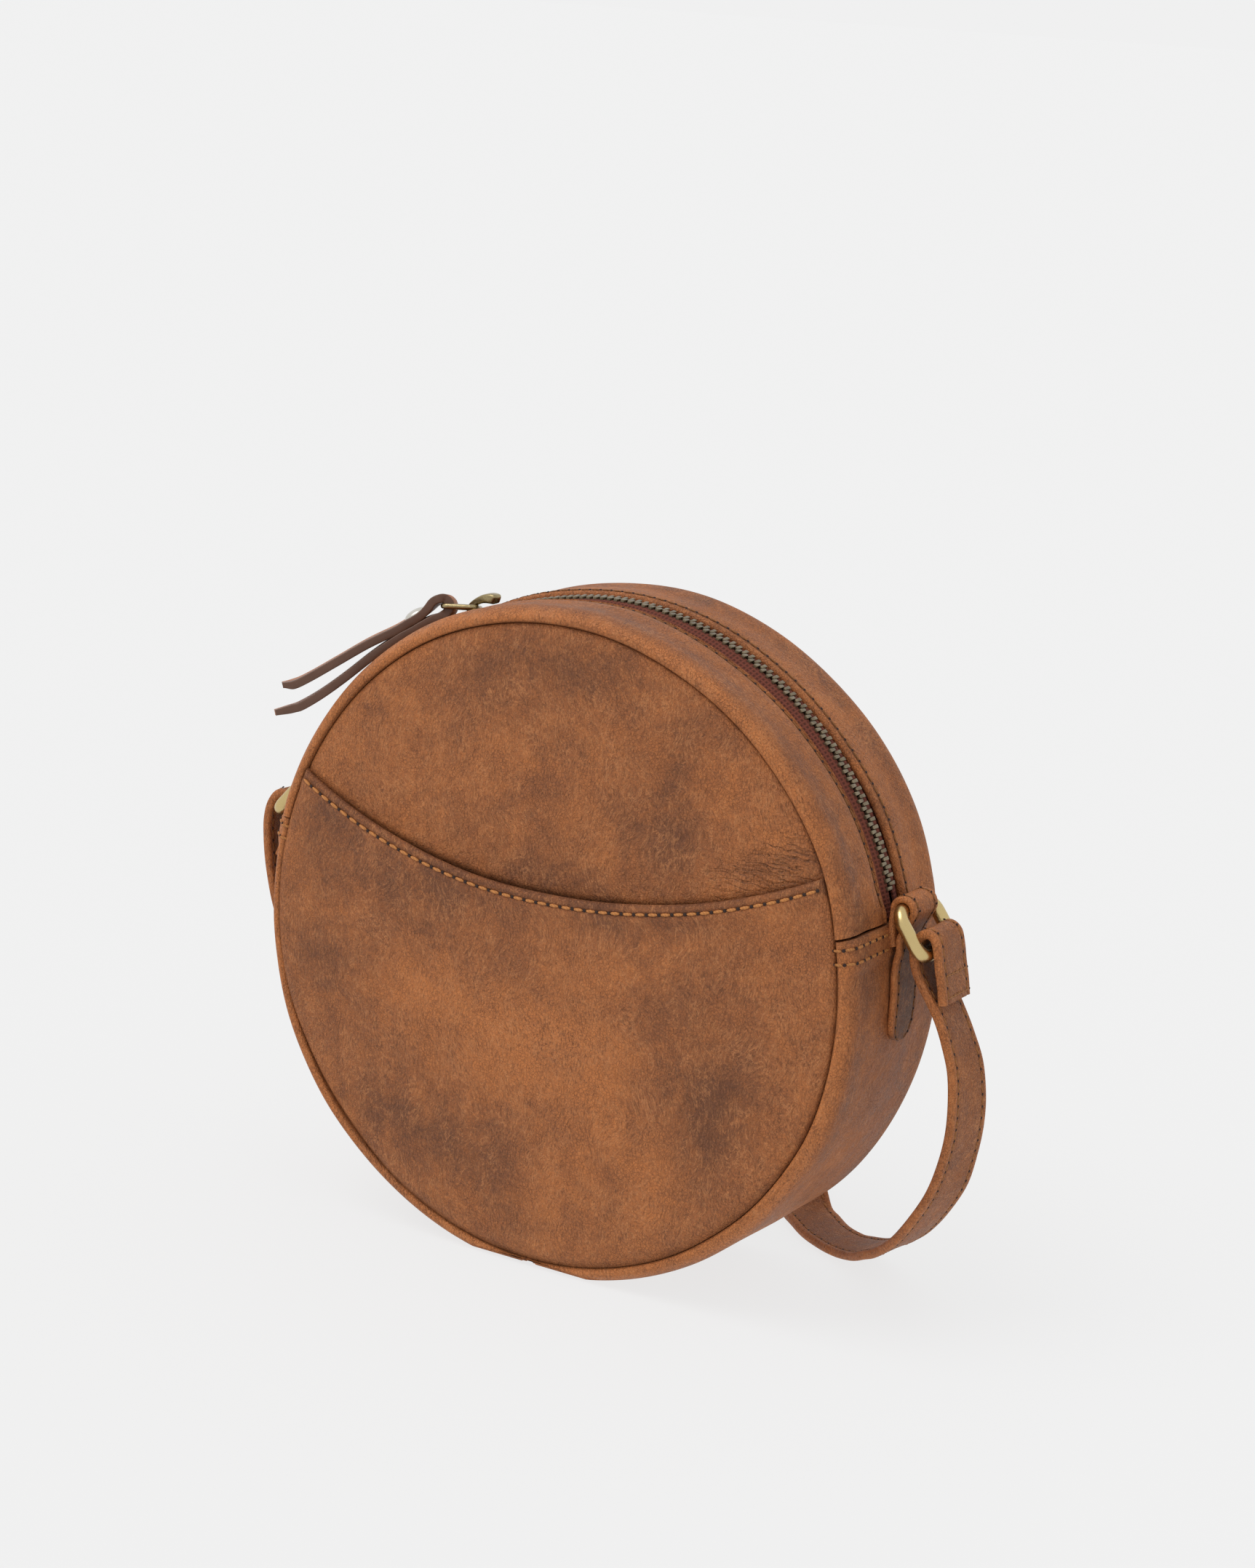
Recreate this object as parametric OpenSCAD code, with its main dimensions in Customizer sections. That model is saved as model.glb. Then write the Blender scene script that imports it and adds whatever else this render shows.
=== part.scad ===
// Round leather crossbody bag, standing upright, in millimetres.
// The origin is on the surface it stands on, under the middle of the bag. +Z is up and -Y is the front.
// The round shell is revolved about the bag's axis, a line along Y through the middle of the disc.

/* [Body] */
// Outer radius of the round body
body_r = 110; // [95:1:130]
// Depth between the crowns of the front and rear rolls
body_depth = 65; // [56:1:80]
// Height of the flat that the bag stands on, cut off the bottom of the circle
base_flat = 3; // [2.5:0.25:4]
// Radius of the roll where the gusset turns onto a face
roll_r = 8.5; // [7:0.5:10]
// Radius of the inner end of the roll, where it dips into the seam
roll_end_r = 2.4; // [2.2:0.1:3]
// Depth of a face's edge below the crown of the roll
seam_depth = 3.3; // [2.6:0.1:4]
// How far the seam allowances turn in
seam_allowance = 4; // [3:0.5:4]

/* [Leather and lining] */
// Thickness of the body leather
leather_t = 2; // [1.6:0.1:2.1]
// Thickness of the lining cloth
lining_t = 0.8; // [0.6:0.1:1]
// Thickness of the stiffening board
board_t = 0.9; // [0.6:0.1:1]
// Bulge of the front panel behind the pocket
front_rise = 0.4; // [0.2:0.1:0.8]
// Bulge of the back panel
back_rise = 2; // [1:0.25:3]
// Clearance between layers that lie against each other
layer_gap = 0.15; // [0.1:0.05:0.2]

/* [Front pocket] */
// Gap between the front panel and the pocket's lining at the middle
pocket_room = 4.9; // [4.7:0.1:6]
// Height of the lowest point of the pocket's curved edge above the disc's middle
pocket_edge_z = 19.7; // [10:1:28]
// Radius of the pocket's curved edge
pocket_edge_r = 216; // [190:2:300]
// Distance of the pocket's stitches from its edge
pocket_stitch_inset = 3; // [2.5:0.25:4]

/* [Zip] */
// Half of the gap between the leather edges beside the zip
zip_gap_half = 6.2; // [6:0.1:7]
// Angle above the horizontal at which the zip ends under each side seam
zip_end_angle = 13; // [11:0.5:16]
// Pitch of the teeth along one tape
tooth_pitch = 2.5; // [2.4:0.05:3]
// Length of a tooth across the tape, from its legs to its head
tooth_l = 3.8; // [3.6:0.1:4]
// How far a tooth's head reaches past the middle of the zip
tooth_reach = 0.8; // [0.6:0.1:0.9]
// Height of a tooth
tooth_h = 2.6; // [2.2:0.1:2.8]
// Thickness of the tape
tape_t = 0.7; // [0.5:0.05:0.8]
// Angle at which the slider stands at rest, from the right-hand horizontal
slider_angle = 118.3; // [100:0.1:130]
// How far each row stands aside in the open stretch
open_spread = 3; // [2.6:0.1:3.1]

/* [Slider and puller] */
// Length of the slider
slider_l = 9.6; // [9:0.2:11]
// Outer radius of the slider's hook
hook_r = 5.3; // [5:0.1:5.5]
// Thickness of the hook
hook_t = 1.6; // [1.2:0.1:1.7]
// Wire thickness of the puller's ring
pull_wire = 1.8; // [1.6:0.1:1.9]
// Distance between the puller ring's end bars
pull_ring_l = 11; // [10:0.5:13]
// Distance between the puller ring's side bars
pull_ring_w = 9.6; // [9.4:0.1:11]
// Length of the puller's leather tails
tail_l = 62; // [45:1:75]
// Width of the puller's leather
tail_w = 9; // [7:0.5:10]
// Thickness of the puller's leather
tail_t = 2.2; // [1.8:0.1:2.6]
// Radius of the rivet's domed cap
rivet_r = 3.8; // [3:0.1:4]

/* [Strap and rings] */
// Width of the shoulder strap
strap_w = 18; // [14:0.5:18.5]
// Thickness of the shoulder strap
strap_t = 2.8; // [2.2:0.1:3]
// Width of the tabs that hold the rings
tab_w = 16.5; // [13:0.5:18]
// Thickness of a tab's leather
tab_t = 2; // [1.8:0.1:2.2]
// Wire thickness of the strap's rings
ring_wire = 4; // [3.5:0.1:4.2]
// Distance between the bars of a strap ring
ring_l = 15.4; // [14:0.1:16]
// Clear width inside a strap ring
ring_inner_w = 19.4; // [19.2:0.1:22]
// Angle of the tongue's tip below the horizontal
tongue_angle = 6.8; // [4:0.1:12]

/* [Hidden] */
$fn = 96;

TAN = "#a0562c";
DARK_TAN = "#7a4222";
BRASS = "#b59a55";
BRONZE = "#6b5b3e";
CLOTH = "#5a3a30";
THREAD = "#b06a30";

// One overrun for every cut
over = 1;
arc_steps = 6;
crown_steps = 10;

// Places that follow the body
centre_z = body_r - base_flat;
half_depth = body_depth / 2;
roll_turn = 45;
roll_c_r = body_r - roll_r;
roll_end_c_r = roll_c_r + (roll_r - roll_end_r) * cos(roll_turn);
roll_end_c_h = half_depth - roll_end_r;
roll_c_h = roll_end_c_h - (roll_r - roll_end_r) * sin(roll_turn);
seam_r = roll_end_c_r - roll_end_r;
rim_h = half_depth - seam_depth;
flange_h = rim_h - seam_allowance;
inside_r = body_r - leather_t;

// Faces
panel_rim_r = seam_r - layer_gap;
panel_round = 1.5;
panel_inner_h = rim_h - leather_t;
roll_margin = 2;
pocket_rim_h = rim_h + layer_gap;
pocket_lining_t = 0.6;
pocket_rise = pocket_room + pocket_lining_t + front_rise;

// Zip edge of the upper gussets
hem_t = 1.2;
hem_w = 7;
hem_r = inside_r - hem_t;
zip_stitch_inset = 2.5;
thread_r = 0.4;

// The chain's middle lies just under the hem
chain_r = hem_r - layer_gap - tape_t / 2;
tape_w = 12.5;
tooth_w = 1.1;
tooth_slot_gap = 0.07;
tooth_slot = tape_t + 2 * tooth_slot_gap;
leg_l = 1.8;
tape_edge_y = tooth_l - tooth_reach - leg_l;
tape_edge_gap = 0.4;
stop_clear_angle = 5.4;
stop_l = 4;
pitch_angle = tooth_pitch / chain_r * 180 / PI;
first_tooth_angle = zip_end_angle + stop_clear_angle;
last_tooth_angle = 180 - first_tooth_angle;
spread_angle = 1.8;
closing_angle = 8;
closing_share = 0.35;

// Slider
plate_t = 0.9;
channel_gap = 0.35;
plate_x = tooth_h / 2 + channel_gap;
flange_t = 0.5;
channel_half_w = 5.3;
slider_half_w = channel_half_w + flange_t;
slot_gap = 0.2;
slot_half = tooth_slot / 2 + slot_gap;
wedge_half_w = 0.45;
wedge_l = 2.2;
hook_w = 2.2;
hook_gap = 0.6;
hook_bar_share = 0.475;
bar_r = chain_r + plate_x + plate_t + hook_r * hook_bar_share;

// Puller
pull_yaw = 25;
pull_ring_pitch = 24;
pull_tail_pitch = 9;
tail_open_angle = 3.2;
pull_corner_r = 2;
pull_bore_gap = 1;
pull_seat_gap = 0.3;
pull_loop_w_share = 0.78;
pull_loop_shift = pull_bore_gap - pull_seat_gap;
pull_bore_r = pull_wire / 2 + pull_bore_gap;
pull_loop_r = pull_bore_r + tail_t;
rivet_at = 9.8;
rivet_pin_r = 1.4;
rivet_cap_h = 1.6;
rivet_base_h = 0.8;
rivet_hole_gap = 0.08;
rivet_seat_gap = 0.05;

// Strap rings and tabs, seen in the plane of the disc
bore_gap = 0.3;
ring_r = ring_wire / 2;
tab_bore_r = ring_r + bore_gap;
tab_loop_r = tab_bore_r + tab_t;
bar_stand = 6.1;
bar_angle = 15.2;
bar_x = (body_r + bar_stand) * cos(bar_angle);
bar_z = (body_r + bar_stand) * sin(bar_angle);
right_ring_dir = -53;
left_ring_dir = -48;
ring_corner_r = 4.5;
ring_w = ring_inner_w + ring_wire;
neck_angle = 11.8;
neck_half_w = 3;
tab_seat_r = body_r + layer_gap;

// Lining
lining_r = panel_rim_r - leather_t - layer_gap;
lining_h = panel_inner_h - board_t - 2 * layer_gap;
lining_corner = 1.5;
lining_lift_h = 14;
lining_zip_h = 7.5;

// Side seams
seam_row_angles = [11.6, 9.3];
seam_row_half = roll_c_h - roll_margin;

// A tube's or band's points, one ring after another, closed at both ends
module swept(rings) {
    n = len(rings[0]);
    last = len(rings) - 1;
    polyhedron(
        points = [for (ring = rings) each ring],
        faces = [
            [for (j = [n - 1:-1:0]) j],
            for (i = [0:last - 1]) for (j = [0:n - 1])
                each [
                    [i * n + j, i * n + (j + 1) % n, (i + 1) * n + (j + 1) % n],
                    [i * n + j, (i + 1) * n + (j + 1) % n, (i + 1) * n + j]
                ],
            [for (j = [0:n - 1]) last * n + j]
        ]
    );
}

function arc(centre, r, from, to, steps = arc_steps) =
    [for (i = [0:steps]) centre + r * [cos(from + (to - from) * i / steps), sin(from + (to - from) * i / steps)]];

function reversed(list) = [for (i = [len(list) - 1:-1:0]) list[i]];

function flipped(list) = [for (p = reversed(list)) [p[0], -p[1]]];

// Height of a crowned face over its radius
function crown(rim_r, rim, rise) =
    [for (i = [0:crown_steps]) [rim_r * i / crown_steps, rim + rise * (1 - pow(i / crown_steps, 2))]];

function crown_height(r, rim, rise) = rim + rise * (1 - pow(r / panel_rim_r, 2));

// The roll, from the gusset's side round into the seam, moved inwards by a depth
function roll(depth) = concat(
    arc([roll_c_r, roll_c_h], roll_r - depth, 0, roll_turn),
    arc([roll_end_c_r, roll_end_c_h], roll_end_r - depth, roll_turn, 180)
);

function roll_outside() = concat(roll(0), [[seam_r, flange_h]]);

function roll_inside() = concat([[seam_r + leather_t, flange_h]], reversed(roll(leather_t)));

// Turns a part drawn along Z onto the bag's axis: its Z becomes the front, its angles run from +X up to +Z
module on_axis() {
    translate([0, 0, centre_z]) rotate([90, 0, 0]) children();
}

module sector(from, to) {
    rotate([0, 0, from]) rotate_extrude(angle = to - from, $fn = 180) children();
}

// Places a part at an angle of the disc: its X points outwards and its Z along the zip, to the left
module at_angle(angle, r) {
    translate([0, 0, centre_z]) rotate([0, -angle, 0]) translate([r, 0, 0]) children();
}

module mirrored_rear() {
    mirror([0, 1, 0]) children();
}

module mirrored_left() {
    mirror([1, 0, 0]) children();
}

module above(level) {
    side = 2 * body_r + 2 * over;
    intersection() {
        children();
        translate([-side / 2, -side / 2, level]) cube([side, side, side]);
    }
}

// The front face, whose edge turns in beside the gusset's
module panel_profile(rise) {
    polygon(concat(
        crown(panel_rim_r - panel_round, rim_h, rise),
        [[panel_rim_r, rim_h - panel_round], [panel_rim_r, flange_h], [panel_rim_r - leather_t, flange_h]],
        reversed(crown(panel_rim_r - leather_t, panel_inner_h, rise))
    ));
}

module front_panel() {
    color(TAN) on_axis() rotate_extrude($fn = 180) panel_profile(front_rise);
}

module back_panel() {
    color(TAN) mirrored_rear() on_axis() rotate_extrude($fn = 180) panel_profile(back_rise);
}

// What lies below the pocket's curved edge, seen from the front
module below_pocket_edge(inset) {
    side = 2 * body_r;
    linear_extrude(height = side) difference() {
        translate([-side / 2, -side / 2]) square([side, side]);
        translate([0, pocket_edge_z + pocket_edge_r]) circle(r = pocket_edge_r + inset, $fn = 360);
    }
}

module crowned_sheet(rim_r, rim, rise, thickness) {
    rotate_extrude($fn = 180) polygon(concat(
        crown(rim_r, rim + thickness, rise),
        reversed(crown(rim_r, rim, rise))
    ));
}

module front_pocket() {
    color(TAN) on_axis() intersection() {
        crowned_sheet(panel_rim_r, pocket_rim_h, pocket_rise + layer_gap, leather_t);
        below_pocket_edge(0);
    }
}

module pocket_lining() {
    edge = panel_rim_r - 2 * leather_t - panel_round;
    drop = pocket_rise * (1 - pow(edge / panel_rim_r, 2));
    color(CLOTH) on_axis() intersection() {
        crowned_sheet(edge, pocket_rim_h + drop - pocket_lining_t, pocket_rise - drop, pocket_lining_t);
        below_pocket_edge(pocket_stitch_inset);
    }
}

// The leather band between the zip and the face, with its edge turned under along the zip
module zip_gusset_profile() {
    edge = zip_gap_half;
    nose = (body_r - hem_r) / 2;
    polygon(concat(
        roll_outside(),
        roll_inside(),
        [[inside_r, edge + hem_w], [hem_r, edge + hem_w]],
        arc([hem_r + nose, edge + nose], nose, 180, 360)
    ));
}

module zip_gusset_front() {
    color(TAN) on_axis() sector(zip_end_angle, 180 - zip_end_angle) zip_gusset_profile();
}

module zip_gusset_rear() {
    color(TAN) mirrored_rear() zip_gusset_front();
}

module lower_gusset_profile() {
    polygon(concat(roll_outside(), roll_inside(), flipped(roll_inside()), flipped(roll_outside())));
}

module lower_gusset_right() {
    top = zip_end_angle - layer_gap / body_r * 180 / PI;
    color(TAN) difference() {
        union() {
            above(0) on_axis() sector(-90, top) lower_gusset_profile();
            intersection() {
                on_axis() sector(-90, top) polygon(concat(roll_outside(), flipped(roll_outside())));
                translate([0, -half_depth, 0]) cube([body_r, body_depth, leather_t]);
            }
        }
        translate([-over, -body_r, -over]) cube([over + layer_gap / 2, 2 * body_r, body_r]);
    }
}

module lower_gusset_left() {
    mirrored_left() lower_gusset_right();
}

// Stiffening boards between leather and lining
module board_disc(rise) {
    edge = panel_rim_r - leather_t - layer_gap;
    on_axis() crowned_sheet(edge, panel_inner_h - layer_gap - board_t, rise, board_t);
}

module front_board() {
    color("#8a7a66") board_disc(front_rise);
}

module back_board() {
    color("#8a7a66") mirrored_rear() board_disc(back_rise);
}

module gusset_board() {
    outer = inside_r - layer_gap;
    half = roll_c_h - roll_margin;
    ease = 1;
    from = 180 + zip_end_angle + ease;
    sweep = 180 - 2 * zip_end_angle - 2 * ease;
    lift = leather_t + layer_gap;
    color("#8a7a66") difference() {
        above(lift) on_axis() rotate([0, 0, from]) rotate_extrude(angle = sweep, $fn = 180)
            translate([0, -half]) square([outer, 2 * half]);
        above(lift + board_t) on_axis()
            cylinder(r = outer - board_t, h = 2 * half + 2 * over, center = true, $fn = 180);
    }
}

// Drop-in lining
module lining_face() {
    on_axis() translate([0, 0, lining_h - lining_t]) cylinder(r = lining_r, h = lining_t, $fn = 180);
}

module lining_front() {
    color(CLOTH) lining_face();
}

module lining_back() {
    color(CLOTH) mirrored_rear() lining_face();
}

module lining_lower() {
    half = lining_h - lining_t - layer_gap;
    color(CLOTH) on_axis() sector(-180 - zip_end_angle, zip_end_angle)
        translate([lining_r - lining_t, -half]) square([lining_t, 2 * half]);
}

module lining_upper_front() {
    half = lining_h - lining_t - layer_gap;
    under_tape = chain_r - tape_t / 2 - layer_gap;
    ease = 0.5;
    color(CLOTH) on_axis() sector(zip_end_angle + ease, 180 - zip_end_angle - ease) polygon([
        [lining_r - lining_t, half], [lining_r, half], [lining_r, lining_lift_h + lining_t],
        [under_tape, lining_lift_h - lining_t], [under_tape, lining_zip_h],
        [under_tape - lining_t, lining_zip_h], [under_tape - lining_t, lining_lift_h - 2 * lining_t],
        [lining_r - lining_t, lining_lift_h]
    ]);
}

module lining_upper_rear() {
    color(CLOTH) mirrored_rear() lining_upper_front();
}

// How far a row stands aside at an angle: meshed to the right of the slider, apart to its left
function spread(angle) =
    angle <= slider_angle ? 0 :
    open_spread * (1 - exp((slider_angle - angle) / spread_angle))
        * (closing_share + (1 - closing_share) * (1 - exp((angle - last_tooth_angle) / closing_angle)));

tape_ease = 0.6;
tape_end_angle = zip_end_angle + tape_ease;
closed_steps = 27;
open_steps = 44;
tape_angles = [
    for (i = [0:closed_steps - 1]) tape_end_angle + (slider_angle - tape_end_angle) * i / closed_steps,
    for (i = [0:open_steps]) slider_angle + (180 - tape_end_angle - slider_angle) * i / open_steps
];

function disc_point(angle, r, y) = [r * cos(angle), y, centre_z + r * sin(angle)];

module zip_tape_front() {
    color(CLOTH) swept([
        for (a = tape_angles)
            let (s = spread(min(a, last_tooth_angle)), near = tape_edge_y + tape_edge_gap + s)
            [
                disc_point(a, chain_r - tape_t / 2, -near), disc_point(a, chain_r + tape_t / 2, -near),
                disc_point(a, chain_r + tape_t / 2, -tape_w), disc_point(a, chain_r - tape_t / 2, -tape_w)
            ]
    ]);
}

module zip_tape_rear() {
    mirrored_rear() zip_tape_front();
}

// A tooth clamps the tape's edge between two legs; its profile is drawn across the zip
module tooth() {
    half = tooth_h / 2;
    leg = tooth_slot / 2;
    root = -tape_edge_y;
    heel = tooth_reach - tooth_l;
    translate([0, 0, -tooth_w / 2]) linear_extrude(height = tooth_w) polygon([
        [-half, tooth_reach], [half, tooth_reach], [half, heel], [leg, heel],
        [leg, root], [-leg, root], [-leg, heel], [-half, heel]
    ]);
}

module tooth_row(offset_share) {
    count = floor((last_tooth_angle - first_tooth_angle) / pitch_angle);
    for (i = [0:count - 1]) {
        angle = first_tooth_angle + (i + offset_share) * pitch_angle;
        at_angle(angle, chain_r) translate([0, -spread(angle), 0]) tooth();
    }
}

module zip_teeth_front() {
    color(BRONZE) tooth_row(0);
}

module zip_teeth_rear() {
    color(BRONZE) mirrored_rear() tooth_row(0.5);
}

// End stops: one on each tape at the open end, one across both at the closed end
module stop_block(near, far) {
    half = tooth_h / 2;
    translate([0, 0, -stop_l / 2]) linear_extrude(height = stop_l) difference() {
        translate([-half, -far]) square([tooth_h, far - near]);
        translate([-tooth_slot / 2, -far - over]) square([tooth_slot, far + over - max(near, tape_edge_y)]);
    }
}

module zip_top_stops() {
    s = spread(last_tooth_angle);
    inner = s + (tape_edge_y - tooth_reach) / 2;
    color(BRONZE) for (side = [0, 1]) mirror([0, side, 0])
        at_angle(180 - zip_end_angle - stop_clear_angle / 2, chain_r) translate([0, -s, 0])
            stop_block(inner - s, tooth_l - tooth_reach);
}

module zip_bottom_stop() {
    reach = tooth_l - tooth_reach;
    half = tooth_h / 2;
    color(BRONZE) at_angle(zip_end_angle + stop_clear_angle / 2, chain_r)
        translate([0, 0, -stop_l / 2]) linear_extrude(height = stop_l) difference() {
            translate([-half, -reach]) square([tooth_h, 2 * reach]);
            for (side = [0, 1]) mirror([0, side])
                translate([-tooth_slot / 2, tape_edge_y]) square([tooth_slot, reach]);
        }
}

// Slider: two plates with flanges round the chain, a wedge between the rows and a hook on top
module slider_outline() {
    corner = 1.6;
    tail_half = slider_half_w - corner;
    intersection() {
        translate([-slider_half_w, -slider_l / 2]) square([2 * slider_half_w, slider_l]);
        union() {
            translate([-slider_half_w, -slider_l / 2 + corner])
                square([2 * slider_half_w, slider_l - 2 * corner]);
            translate([-tail_half, -slider_l / 2]) square([2 * tail_half, slider_l]);
            for (x = [-tail_half, tail_half]) for (z = [corner - slider_l / 2, slider_l / 2 - corner])
                translate([x, z]) circle(r = corner, $fn = 32);
        }
    }
}

module slider_half() {
    difference() {
        translate([slot_half, 0, 0]) rotate([90, 0, 90])
            linear_extrude(height = plate_x + plate_t - slot_half) slider_outline();
        translate([slot_half - over, -channel_half_w, -slider_l / 2 - over])
            cube([plate_x - slot_half + over, 2 * channel_half_w, slider_l + 2 * over]);
    }
}

module hook() {
    width = hook_w;
    translate([plate_x + plate_t, width / 2, 0]) rotate([90, 0, 0]) linear_extrude(height = width)
        difference() {
            circle(r = hook_r, $fn = 64);
            circle(r = hook_r - hook_t, $fn = 64);
            translate([-2 * hook_r, -hook_r - over]) square([2 * hook_r, 2 * hook_r + 2 * over]);
            translate([-over, -hook_r - over]) square([over + hook_gap, hook_r + over]);
        }
}

module zip_slider() {
    color(BRASS) at_angle(slider_angle, chain_r) {
        slider_half();
        mirror([1, 0, 0]) slider_half();
        translate([-plate_x - plate_t / 2, -wedge_half_w, slider_l / 2 - wedge_l])
            cube([2 * plate_x + plate_t, 2 * wedge_half_w, wedge_l]);
        hook();
    }
}

// A closed wire ring with rounded corners; one bar lies on the Y axis and the ring runs along +X
module wire_ring(length, width, corner, wire) {
    side = width / 2;
    rod = wire / 2;
    for (x = [0, length]) translate([x, corner - side, 0]) rotate([-90, 0, 0])
        cylinder(r = rod, h = width - 2 * corner, $fn = 48);
    for (y = [-side, side]) translate([corner, y, 0]) rotate([0, 90, 0])
        cylinder(r = rod, h = length - 2 * corner, $fn = 48);
    corners = [[corner, corner - side, 180], [length - corner, corner - side, 270],
        [length - corner, side - corner, 0], [corner, side - corner, 90]];
    for (c = corners) translate([c[0], c[1], 0]) rotate([0, 0, c[2]])
        rotate_extrude(angle = 90, $fn = 64) translate([corner, 0]) circle(r = rod, $fn = 48);
}

// The puller leans to the left and front: its X runs along the tails and its Y along the ring's bars
module at_hook() {
    at_angle(slider_angle, bar_r) rotate([pull_yaw, 0, 0]) rotate(a = 180, v = [1, 0, 1]) children();
}

module at_pull_bar() {
    at_hook() rotate([0, -pull_ring_pitch, 0]) translate([pull_ring_l, 0, 0])
        rotate([0, pull_ring_pitch + pull_tail_pitch, 0]) children();
}

module puller_ring() {
    color(BRASS) at_hook() rotate([0, -pull_ring_pitch, 0])
        wire_ring(pull_ring_l, pull_ring_w, pull_corner_r, pull_wire);
}

// A flat shape as a plate of some width, standing across Y
module plate(width) {
    translate([0, width / 2, 0]) rotate([90, 0, 0]) linear_extrude(height = width) children();
}

// The folded leather: a loop round the bar and two tails that open towards their tips
module puller_strap() {
    join = rivet_at + rivet_r;
    loop_w = tail_w * pull_loop_w_share;
    tip = 2 * tail_t + layer_gap;
    half = tail_t + layer_gap / 2;
    lap = 1;
    seat = rivet_at - rivet_r - lap;
    color(DARK_TAN) at_pull_bar() difference() {
        union() {
            plate(loop_w) translate([pull_loop_shift, 0]) circle(r = pull_loop_r, $fn = 48);
            plate(loop_w) polygon([[pull_loop_shift, pull_loop_r], [seat, half],
                [seat, -half], [pull_loop_shift, -pull_loop_r]]);
            plate(tail_w) translate([seat - lap / 2, -half]) square([join - seat + lap / 2, 2 * half]);
            for (side = [0, 1]) mirror([0, 0, side])
                plate(tail_w) translate([join, layer_gap / 2]) rotate(tail_open_angle)
                    polygon([[-lap, 0], [tail_l - join, 0], [tail_l - join - tip, tail_t], [-lap, tail_t]]);
        }
        plate(tail_w + 2 * over) translate([pull_loop_shift, 0]) circle(r = pull_bore_r, $fn = 48);
        translate([rivet_at, 0, -pull_loop_r - over])
            cylinder(r = rivet_pin_r + rivet_hole_gap, h = 2 * pull_loop_r + 2 * over, $fn = 32);
    }
}

rivet_seat = tail_t + layer_gap / 2 + rivet_seat_gap;

module rivet_cap() {
    dome = (pow(rivet_r, 2) + pow(rivet_cap_h, 2)) / (2 * rivet_cap_h);
    color(BRASS) at_pull_bar() translate([rivet_at, 0, rivet_seat]) intersection() {
        translate([0, 0, rivet_cap_h - dome]) sphere(r = dome, $fn = 96);
        cylinder(r = rivet_r, h = rivet_cap_h, $fn = 64);
    }
}

module rivet_post() {
    color(BRASS) at_pull_bar() translate([rivet_at, 0, 0]) {
        translate([0, 0, -rivet_seat - rivet_base_h]) cylinder(r = rivet_r - rivet_base_h, h = rivet_base_h, $fn = 64);
        translate([0, 0, -rivet_seat]) cylinder(r = rivet_pin_r, h = 2 * rivet_seat, $fn = 32);
    }
}

// Ring tabs: a tongue on the gusset's outside, a neck and a loop that holds the ring
module tab_right() {
    reach = 2 * body_r;
    outer = tab_seat_r + tab_t;
    neck = outer * [cos(neck_angle), sin(neck_angle)];
    bar = [bar_x, bar_z];
    along = (bar - neck) / norm(bar - neck);
    across = [-along[1], along[0]];
    color(DARK_TAN) translate([0, 0, centre_z]) intersection() {
        difference() {
            union() {
                intersection() {
                    plate(tab_w) circle(r = outer, $fn = 360);
                    plate(tab_w) polygon([[0, 0], reach * [cos(-tongue_angle), sin(-tongue_angle)],
                        reach * [cos(zip_end_angle), sin(zip_end_angle)]]);
                }
                plate(tab_w) translate(bar) circle(r = tab_loop_r, $fn = 64);
                plate(tab_w) polygon([bar + tab_loop_r * across, bar - tab_loop_r * across,
                    neck - neck_half_w * across - tab_t * along, neck + neck_half_w * across - tab_t * along]);
            }
            plate(tab_w + 2 * over) translate(bar) circle(r = tab_bore_r, $fn = 64);
            plate(tab_w + 2 * over) circle(r = tab_seat_r, $fn = 360);
        }
        tongue_shape();
    }
}

// The tongue's rounded tip, seen from the side
module tongue_shape() {
    tip = body_r * sin(tongue_angle);
    round_r = tab_w / 2;
    translate([body_r / 2, 0, 0]) rotate([90, 0, 90]) linear_extrude(height = body_r) union() {
        translate([-round_r, round_r - tip]) square([tab_w, body_r]);
        translate([0, round_r - tip]) circle(r = round_r, $fn = 64);
    }
}

module tab_left() {
    mirrored_left() tab_right();
}

module strap_ring(dir) {
    color(BRASS) translate([bar_x, 0, centre_z + bar_z]) rotate([0, -dir, 0])
        wire_ring(ring_l, ring_w, ring_corner_r, ring_wire);
}

module ring_right() {
    strap_ring(right_ring_dir);
}

module ring_left() {
    mirrored_left() strap_ring(left_ring_dir);
}

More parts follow.
